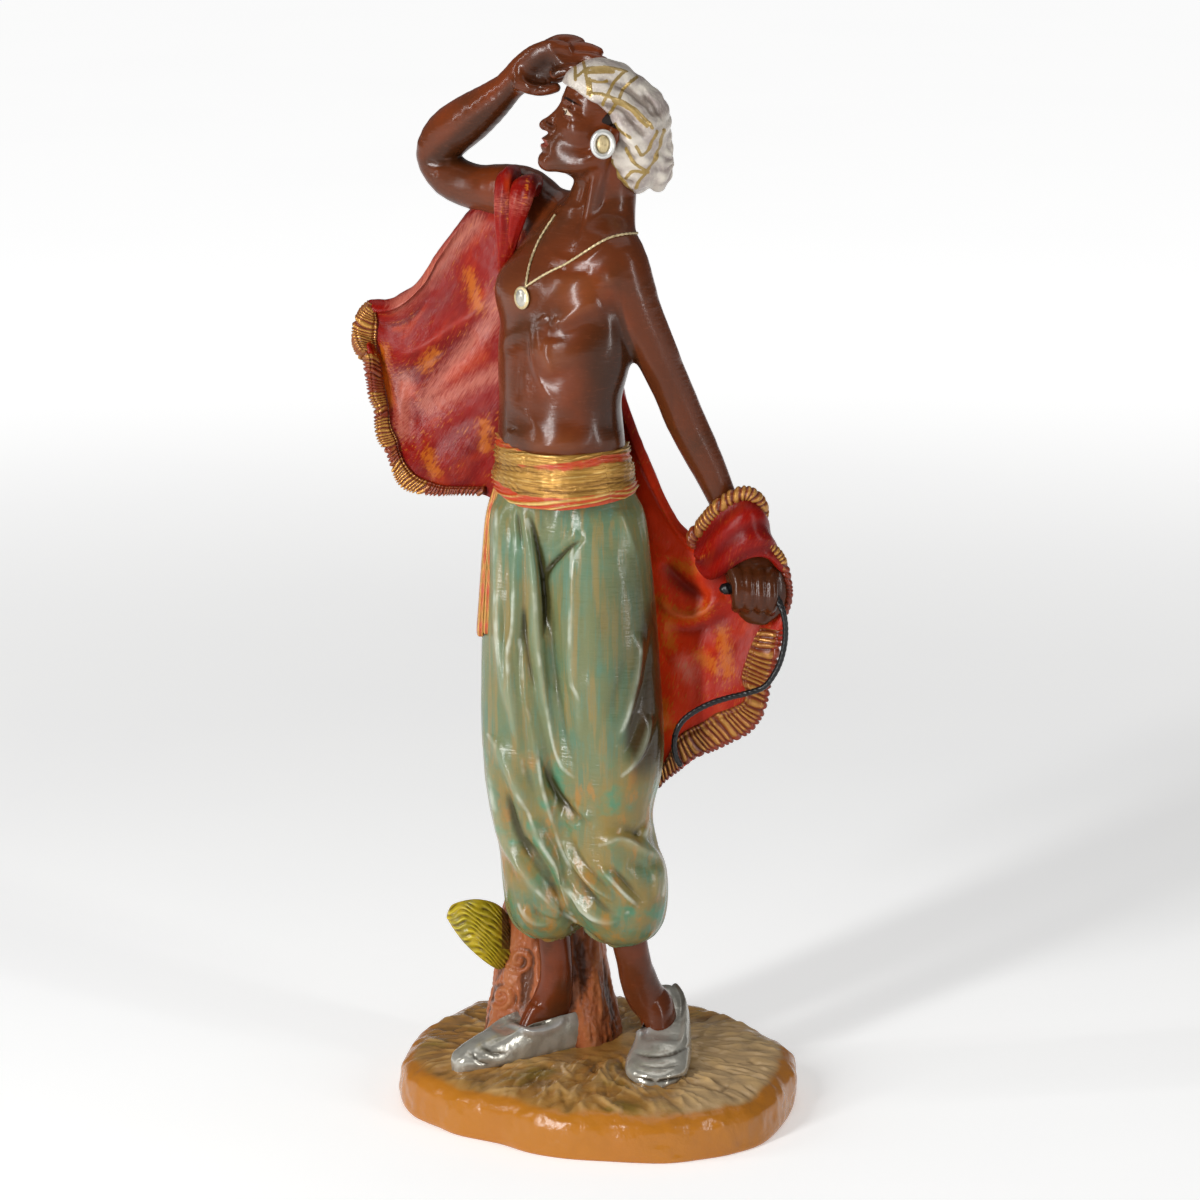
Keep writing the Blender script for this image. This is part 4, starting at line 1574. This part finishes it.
def ruffle(name, rows, slant, material, gold):
    # A gathered roll of cloth: a tube whose pleats wind a little round it.
    path, run = spaced(placedRows(rows), 0.2 * coarse)
    angles = around(48)
    uneven = run + 0.8 * np.sin(run / 2.1) + 0.35 * np.sin(run / 0.83)
    wave = np.abs(np.sin(math.pi * (uneven[:, None] / 1.7 + slant * np.sin(angles)[None])))
    ends = np.sqrt(ease(0, 1.2, run) * ease(run[-1], run[-1] - 1.2, run))[:, None]
    shell = flutedTube(path, -away, angles, (0.8 + 0.34 * wave) * np.maximum(ends, 0.05))
    figurePiece(name, shell, material, values={
        "flow": tubeFlow(run, 2 * angles), "relief": capped(1.1 * (wave - 0.5)),
        "gold": np.interp(capped(np.repeat(run, len(angles)), run[-1]), *gold)})


hems = {
    "thick": 3.6, "left": (1.1, 0.55), "right": (1.75, 0.85),
    # The edges that are seen, as across and up of each point in turn
    "leftOuter": [
        -63.5, 81.7, -66, 79.8, -67.7, 76.7, -68.2, 73.4, -67.9, 70.7, -66.6, 68.2, -64.9, 66.8,
        -64.4, 63.3, -63.8, 59.1, -63.3, 55.3, -61.9, 52.5, -61.9, 47.6, -61.1, 43.7, -59.1, 41,
        -57.8, 37.4, -56.4, 33.3, -54.2, 30.8, -51.2, 29.7, -45.1, 29, -38.8, 29.3, -31.4, 29.2],
    "leftInner": [
        -61.9, 80.6, -61.5, 78.1, -61.3, 75.6, -61.3, 73.2, -61.6, 71.2, -61.9, 69.3, -61.9, 67.4,
        -60.8, 63.3, -60, 59.4, -59.1, 56.1, -58.6, 52.8, -57.8, 47.9, -56.1, 44.6, -55.3, 41.2, -53.9, 38,
        -51.7, 35.2, -49.8, 33.8, -47.9, 33, -43.2, 31.6, -38, 31.4, -31.4, 31.4],
    "rightOuter": [
        49.8, -7.7, 49.2, -12.1, 48.1, -17.6, 46.5, -23.1, 45.7, -27.5, 44, -32.2, 40.7, -36.3, 36, -38.8,
        31.4, -41, 25.9, -43.2, 21.7, -46.5, 18.2, -49.2, 15.7, -52],
    "rightInner": [
        44.3, -7.4, 42.1, -10.7, 40.2, -15.1, 38.5, -21.2, 39.6, -25.3, 38.8, -27.8, 35.5, -29.4,
        31.6, -30.8, 27.8, -33.3, 23.4, -35.5, 20.6, -38.2, 19, -41.8, 16.8, -46.8],
    "leftGold": [(-66, 73.8, 8), (-62, 54.5, 2.6), (-59.4, 46.2, 3.6), (-53, 33.6, 5)],
}


def clothDepth(line):
    # A seen line with the cloak's depth y put in, even past the cloth's edge: nearest places weigh most.
    line = np.reshape(line, (-1, 2))
    u, v = shares(140, 26)
    places = cloakSurface(u, v).reshape(-1, 3)
    across, up = seen(places)
    distance = np.hypot(line[:, :1] - across, line[:, 1:] - up)
    weight = np.exp(-(distance - distance.min(1, keepdims=True)) / 0.5)
    depth = (weight * places[:, 1]).sum(1) / weight.sum(1)
    return placeSeen(line[:, 0], line[:, 1], depth - 1)


def makeCloakHem(name, material):
    pleatedBand(name + "Hem", clothDepth(hems[name + "Outer"]), clothDepth(hems[name + "Inner"]), *hems[name],
                material, hems["leftGold"] if name == "left" else None)


cloakMaterial, hemMaterial = cloakPaint(), hemPaint()
makeCloak(cloakMaterial)
for name in ("left", "right"):
    makeCloakHem(name, hemMaterial)

# Cloth gathered over the right shoulder, in two rolls
shoulderRolls = {
    # Across, up and depth of the middle as the camera sees it, then half breadth and half thickness
    "inner": [(-27.2, 86.6, 7, 0.5, 0.5), (-26.6, 93, 0, 1.9, 1.4), (-25.9, 100.4, -2, 2.8, 1.8),
              (-26.4, 107.3, -2.6, 2.7, 2), (-26.7, 112.8, -2.2, 2.4, 2.6), (-26, 115.6, 0.4, 2.6, 2.9),
              (-24.8, 116.2, 6, 3, 3), (-24, 116, 12, 3.4, 2.4), (-24, 108, 16, 4.6, 2)],
    "outer": [(-25.6, 92, 0, 0.9, 0.9), (-24.2, 99.6, -2.4, 1.6, 1.5), (-22.9, 105.9, -4.6, 2.4, 2),
              (-21.8, 110.6, -5, 3.1, 2.8), (-20.8, 113.4, -3, 3.4, 3.2), (-19.8, 114, 2, 3.8, 3.2),
              (-19, 114, 8, 3.8, 2.4), (-19, 108, 13, 4.6, 2)],
}


def makeShoulderRoll(name, rows, material):
    # A tube with cosine folds that wind slowly along it.
    path, run = spaced(placedRows(rows), 0.4 * coarse)
    angles, far = around(110), run[:, None]
    folds = 0.3 * np.cos(3 * angles + 0.1 * far) + 0.08 * np.cos(7 * angles - 0.2 * far)
    shell = flutedTube(path, (1, 0, 0), angles, 1 + 0.3 * folds)
    up = seen(shell[0])[1]
    values = {"flow": tubeFlow(run, 3.4 * angles), "relief": capped(1.5 * folds),
              "glow": 0.4 * ease(104, 98, up), "pale": 0.6 * bell(up - 109, 5)}
    figurePiece(name + "ShoulderRoll", shell, material, values=values)


for name, rows in shoulderRolls.items():
    makeShoulderRoll(name, rows, cloakMaterial)

# Cloth over the left wrist
wristWrap = {
    "upper": [(25.6, 15.7, -2), (28.3, 20.1, -5), (31.6, 24.2, -8), (35.8, 27.2, -9.5), (39.6, 28.3, -10),
              (42.6, 26.7, -8.5), (44, 23.7, -5.5)],
    "lower": [(26.7, 10.2, -0.5), (29.4, 5.8, -2.5), (33.3, 6.6, -7), (37.7, 9.9, -11),
              (42.4, 11.8, -12.8), (46.5, 11, -11.6), (50.1, 7.4, -7.5)],
    "thick": 2.6,
    # Across, up and depth of the rolled edges, then their half sizes
    "upperRoll": [
        (26.4, 14.3, -1.5, 1.2, 1.2), (25.3, 17.1, -3, 2.1, 1.8), (28.1, 20.9, -6, 2.1, 1.9),
        (31.6, 25, -8.6, 2.1, 1.9), (35.8, 28.1, -10, 2.1, 1.9), (39.6, 29.4, -10.6, 2, 1.9),
        (42.6, 28.1, -9, 2, 1.8), (44.3, 25.3, -6, 1.9, 1.7), (44.3, 21.7, -3, 1.5, 1.4)],
    "lowerRoll": [
        (37.1, 12.9, -11, 1, 1), (39.1, 14.9, -11.8, 1.7, 1.5), (42.1, 15.7, -11.8, 1.8, 1.6),
        (45.4, 14.9, -10.6, 1.8, 1.6), (48.4, 12.4, -8.6, 1.8, 1.6), (50.3, 9.1, -6.8, 1.5, 1.3),
        (51.4, 5, -6, 1.3, 1.1), (51.7, 0.6, -5.4, 1.1, 1), (50.6, -4.4, -5, 0.8, 0.8)],
    "gold": ([0, 18, 21, 40], [0.8, 0.8, 0, 0]),  # lengths along the lower roll, and how gold it is there
}


def wristSurface(u, v):
    # Between two edges, and bowed forwards by a sine of each share.
    upper, lower = placedRows(wristWrap["upper"]), placedRows(wristWrap["lower"])
    middle = along(upper, u) * (1 - v[..., None]) + along(lower, u) * v[..., None]
    middle[..., 1] -= 2.4 * np.sin(math.pi * v) * np.sin(math.pi * u)
    return middle


def makeWristWrap(material, hemMaterial):
    # The surface made thick, with sine folds on its front.
    u, v = shares(110, 64)
    middle = wristSurface(u, v)
    normal = sheetNormals(middle)
    rim = rounded(v, 8) * rounded(u, 16)
    folds = 0.3 * np.sin(5 * math.pi * v + 5 * u) * rim
    half = (wristWrap["thick"] / 2 * rim)[..., None]
    front = middle + normal * (half + np.where(rim > 0, folds, 0)[..., None])
    shell = closedSheet(front, middle - normal * half)
    flow = flowOf(middle)
    values = {"flow": inSheet(flow) * unit, "relief": inSheet(2 * folds - 0.7, 0 * folds),
              "glow": 0.25 * bell(seen(shell[0])[0] - 33, 4)}
    figurePiece("wristWrap", shell, material, values=values)
    ruffle("upperWristHem", wristWrap["upperRoll"], 0.35, hemMaterial, ([0, 5, 12, 40], [0.3, 0.4, 0.6, 0.6]))
    ruffle("lowerWristHem", wristWrap["lowerRoll"], 0.3, hemMaterial, wristWrap["gold"])


makeWristWrap(cloakMaterial, hemMaterial)
print("cloak made")


# Turban
turban = {
    # Forward and height of each mass on the head, then its half sizes forward, sideways and up.
    "masses": [(0.1, 0.68, 0.35, 0.37, 0.33), (-0.15, 0.57, 0.35, 0.39, 0.375),
               (-0.3, 0.32, 0.23, 0.28, 0.27)],
    # How far forward the cloth reaches at each height
    "edge": [(0.08, -0.5), (0.116, -0.34), (0.164, -0.19), (0.293, -0.09), (0.367, -0.06), (0.51, -0.06),
             (0.563, 0), (0.625, 0.08), (0.65, 0.2), (0.69, 0.36), (0.73, 0.8)],
    "knot": (15.2, -6.4, 267.6), "knotHalves": (3.8, 5.6, 9),
    "folds": drawn([
        (1.1, 0.7, -6.3, 144.1, -4.1, 145.8, -0.3, 146.2, 3.9, 145.8, 8.4, 143.6, 12.6, 139.6),
        (0.9, -1, -3, 143, 2, 142.6, 7, 140.6, 12, 136.6, 16, 131.6),
        (1.1, 0.8, -3.6, 139.2, -0.3, 139.2, 3, 138, 8.5, 135.3, 12.9, 131.2, 15.4, 128),
        (0.9, -1, -2, 136.6, 3, 136.2, 7, 134, 10, 130, 13, 126),
        (0.6, -0.9, 11.6, 140, 15.1, 135.9, 17.3, 131.6), (0.7, 0.5, 10, 141.6, 13.6, 138.6, 16.6, 134),
        (1, 0.6, 3.9, 129.9, 7.2, 127.9, 10.7, 123, 13.5, 118.8),
        (0.8, -0.9, 3, 127.6, 6.4, 125, 10, 119.6), (0.8, 0.5, 5, 123.5, 8.2, 120.5, 12.9, 117.7),
        (0.7, -0.7, 3.6, 119, 6, 115.6, 9.6, 114.4),
    ]),
    # Gold lines: two along the windings, then pairs that cross them, and those low at the back
    "gold": [
        (-6.3, 144.1, -4.1, 145.8, -0.3, 146, 3.9, 145.8, 6.6, 144.9), (-3.6, 145, 0, 145.2, 3.4, 145),
        (-3, 143, -0.3, 142.5, 1.7, 143),
        (-3.6, 139.2, -0.3, 139.2, 3, 138, 5.8, 137, 8.5, 135.3, 10.7, 133.4, 12.9, 131.2, 14, 129.8),
        (3.4, 137.2, 6.2, 136, 8.8, 134.2, 10.6, 132.2, 12.6, 130.2),
        (6.1, 144.9, 3.6, 142.5, 2.5, 140.3, 1.4, 138.3, 0.3, 135.9),
        (9.9, 143.8, 7.2, 141.6, 5.5, 139.2, 3.9, 135.9, 2.2, 133.7),
        (-5, 148.5, -4.4, 146.3, -4.1, 144.1, -3.6, 141.4, -3.6, 139.2),
        (-3.2, 143.4, -2.8, 141, -2.8, 138.6), (-7.2, 146.9, -6.9, 143),
        (15.4, 129, 14.3, 126.5, 12.9, 123.8, 11, 122.4),
        (17.3, 129.3, 16.2, 125.1, 14.9, 121.6, 12.9, 118.3, 10.7, 115.5, 9.6, 113.3),
        (9.6, 124.9, 11, 122.4), (6.9, 123.8, 8.5, 121, 10.7, 119.1, 12.9, 117.7),
        (6.6, 115.5, 8, 117.4, 9.6, 118, 12.1, 117.4), (3, 121, 3.9, 117.7, 5.8, 115, 8.5, 112.5),
        (3.9, 130.9, 5.8, 128.7, 8, 127.3),
    ],
}


def trimTurban(form):
    # Cuts the cloth back to its edge round the face: the greater of two distances, rounded where they meet.
    x, y, z = np.meshgrid(*form["axes"], indexing="ij", sparse=True)
    offset = [grid - middle for grid, middle in zip((x, y, z), head["centre"])]
    forward = sum(offset[k] * headForward[k] for k in range(3))
    height = sum(offset[k] * headUp[k] for k in range(3)) / head["height"] + 0.5
    edge = np.interp(height, *zip(*turban["edge"])) * head["height"]
    beyond = 0.75 * (forward - edge)
    old = form["distances"]
    h = np.clip(0.5 - 0.5 * (old - beyond) / 2.2, 0, 1)
    form["distances"] = (old * (1 - h) + beyond * h + 2.2 * h * (1 - h)).astype(np.float32)


def makeTurban(material):
    # Rounded masses cut back round the face, and a knot behind.
    form = startForm((-20, -30, 250), (28, 16, 301), meshSteps["turban"] * coarse)
    axes, tall = [headForward, headLeft, headUp], head["height"]
    for forward, height, *halves in turban["masses"]:
        addBall(form, headPoint(forward, 0, height), np.array(halves) * tall, 3, axes)
    trimTurban(form)
    addBall(form, turban["knot"], turban["knotHalves"], 1.5)

    def carving(points, normals):
        # Windings: waves across the crown that bow with the distance from the middle plane.
        across, up = seen(points)
        forward, left, height = (head["height"] * share for share in inHead(points))
        winding = 0.16 * np.sin(1.5 * (height + 0.5 * forward + 0.3 * np.abs(left)))
        cross = 0.05 * np.sin(1.1 * (forward - height) + 0.5 * left)
        knot = ease(9, 6, np.linalg.norm(points - np.array(turban["knot"]), axis=1))
        turn = np.arctan2(points[:, 2] - turban["knot"][2], points[:, 1] - turban["knot"][1])
        frill = 0.9 * (np.abs(np.sin(5.5 * turn + 0.4 * forward)) - 0.4) * knot
        height = strokes(across, up, turban["folds"]) + winding + cross + frill
        height += 0.08 * lattice(points, 1.4, 15)
        return height, {"gold": painted(across, up, turban["gold"], 0.45)}

    figurePiece("turban", skinOfForm(form), material, carving)


makeTurban(turbanPaint())

# Necklace and earring
jewels = {
    "strands": [
        (-12.4, 105.9, -16.8, 99, -19.5, 92.1, -20.6, 85.8),
        (10.7, 100.9, 4.4, 100.1, -0.3, 98.2, -8.5, 93, -15.4, 89.4, -20.8, 86),
    ],
    "thick": 0.32, "pendant": (-21.5, 83.1), "pendantHalves": (2.6, 3.1, 0.5),
    "earring": (0.5, -21.6, 273), "earringHalves": (2.6, 3.2), "rim": 0.8,
}


def onSkin(places, lift):
    # Points of the seen view laid on the skin, and lifted off it along the skin's normal.
    tree = BVHTree.FromObject(skin, bpy.context.evaluated_depsgraph_get())
    right = np.array([1.0, 0, 0])
    found = []
    for across, up in places:
        aim = across * right + up * upward + view["distance"] * away
        place, normal, _, _ = tree.ray_cast(Vector(eye * unit), Vector(aim).normalized())
        if place:
            found.append(np.array(place) / unit + lift * np.array(normal))
    return np.array(found)


def ball(centre, halves, axes, rows, columns):
    # A rounded bead as rings from pole to pole.
    rise = np.linspace(0.04, math.pi - 0.04, rows)[:, None, None]
    angles = turns(columns)[None, :, None]
    axes = np.asarray(axes, float)
    flat = np.cos(angles) * axes[0] * halves[0] + np.sin(angles) * axes[1] * halves[1]
    return closedTube(np.array(centre) + np.sin(rise) * flat + np.cos(rise) * axes[2] * halves[2])


def makeJewels(gold, silver):
    # Strands beaded by a cosine, a flat ball in a rim, and a ball in a ring.
    for number, strand in enumerate(jewels["strands"]):
        line, _ = spaced(np.reshape(strand, (-1, 2)), 0.5)
        path, run = spaced(onSkin(line, 0.25), 0.35 * coarse)
        size = jewels["thick"] * (1 + 0.22 * np.cos(2 * math.pi * run / 1.4))[:, None] * np.ones(2)
        rings = sweep(path, (0.3, 0.2, 1), size, turns(int(16 / coarse) + 2))
        figurePiece(f"necklace{number + 1}", closedTube(rings), gold)
    place = onSkin([jewels["pendant"]], 0.5)[0]
    facing = unitRows(0.8 * chestFront - 0.2 * away)
    wide = unitRows(np.cross(facing, upward))
    axes = [wide, np.cross(wide, facing), facing]
    figurePiece("pendantRim", ball(place, jewels["pendantHalves"], axes, 16, 40), gold)
    shell = ball(place, np.array(jewels["pendantHalves"]) * (0.86, 0.9, 1.2), axes, 14, 36)
    figurePiece("pendant", shell, silver, values={"relief": np.full(len(shell[0]), -0.2)})
    centre = np.array(jewels["earring"])
    wide, tall = jewels["earringHalves"]
    rows, columns = 60, 18
    angles, tube = turns(rows), turns(columns)
    path = centre + np.stack([wide * np.cos(angles), 0 * angles, tall * np.sin(angles)], 1)
    radial = unitRows(path - centre)
    rings = path[:, None] + jewels["rim"] * (np.cos(tube)[None, :, None] * radial[:, None]
                                             + np.sin(tube)[None, :, None] * np.array([0, 1.3, 0]))
    index = np.arange(rows * columns).reshape(rows, columns)
    quads = gridQuads(np.concatenate([index, index[:1]]), True)
    figurePiece("earringRim", (rings.reshape(-1, 3), quads, np.zeros((0, 3), int)), silver,
                values={"relief": np.full(rows * columns, 0.7)})
    axes = [(1, 0, 0), (0, 0, 1), (0, 1, 0)]
    figurePiece("earring", ball(centre + (0, 0.4, 0), (wide - 0.7, tall - 0.7, 1), axes, 12, 36), gold)


makeJewels(goldPaint(), silver)
print("turban and jewels made")


# Studio
studio = {
    "left": {"place": (-0.62, -0.75, 0.42), "size": (0.072, 0.84), "power": 9},
    "right": {"place": (0.75, -0.6, 0.38), "size": (0.06, 0.7), "power": 2.6},
    "rim": {"place": (-0.95, -0.2, 0.5), "size": (0.026, 0.6), "power": 1.7},
    "top": {"place": (0.1, 0.1, 1.1), "size": (0.9, 0.9), "power": 2.6},
    "aim": (0, 0, 0.25), "world": 0.12, "glow": 0.85,
}


def makeStudio():
    for name in ("left", "right", "rim", "top"):
        settings = studio[name]
        light = bpy.data.lights.new(name + "Light", "AREA")
        light.shape, light.energy = "RECTANGLE", settings["power"]
        light.size, light.size_y = settings["size"]
        lamp = newObject(name + "Light", light)
        lamp.location = settings["place"]
        lamp.visible_camera = False
        aim = Vector(studio["aim"]) - Vector(settings["place"])
        lamp.rotation_euler = aim.to_track_quat("-Z", "Y").to_euler()
    world = bpy.data.worlds.new("studio")
    world.use_nodes = True
    colour, strength = world.node_tree.nodes["Background"].inputs[:2]
    colour.default_value, strength.default_value = (1, 1, 1, 1), studio["world"]
    scene.world = world
    mesh = bpy.data.meshes.new("floor")
    mesh.from_pydata([(-6, -6, 0), (6, -6, 0), (6, 6, 0), (-6, 6, 0)], [], [(0, 1, 2, 3)])
    paint = Finish("floorPaint", (244, 244, 243))
    paint.mottle((240, 240, 240), 3, 0.4, 0.7)
    mesh.materials.append(paint.finish(0.7, 0.02, 0, 0.02))
    # The floor glows far from the figure, so that it stays pale all the way back.
    reach = put(paint.tree, "VectorMath", {"operation": "LENGTH"}, n0=paint.place)
    far = paint.cut(reach.outputs[1], 0.3, 1.4)
    shader = next(node for node in paint.tree.nodes if node.type == "BSDF_PRINCIPLED")
    shader.inputs["Emission Strength"].default_value = 1
    depth = put(paint.tree, "SeparateXYZ", None, Vector=paint.place).outputs["Y"]
    near = paint.sums("ADD", 0.1, paint.both(paint.cut(depth, -0.45, -0.15), 0.24))
    pale = put(paint.tree, "Mix", {"data_type": "RGBA"}, n0=far, n6=near, n7=(studio["glow"],) * 3 + (1,))
    paint.tree.links.new(pale.outputs[2], shader.inputs["Emission Color"])
    newObject("floor", mesh)
    scene.view_settings.view_transform = "Standard"


makeStudio()

print("all made")
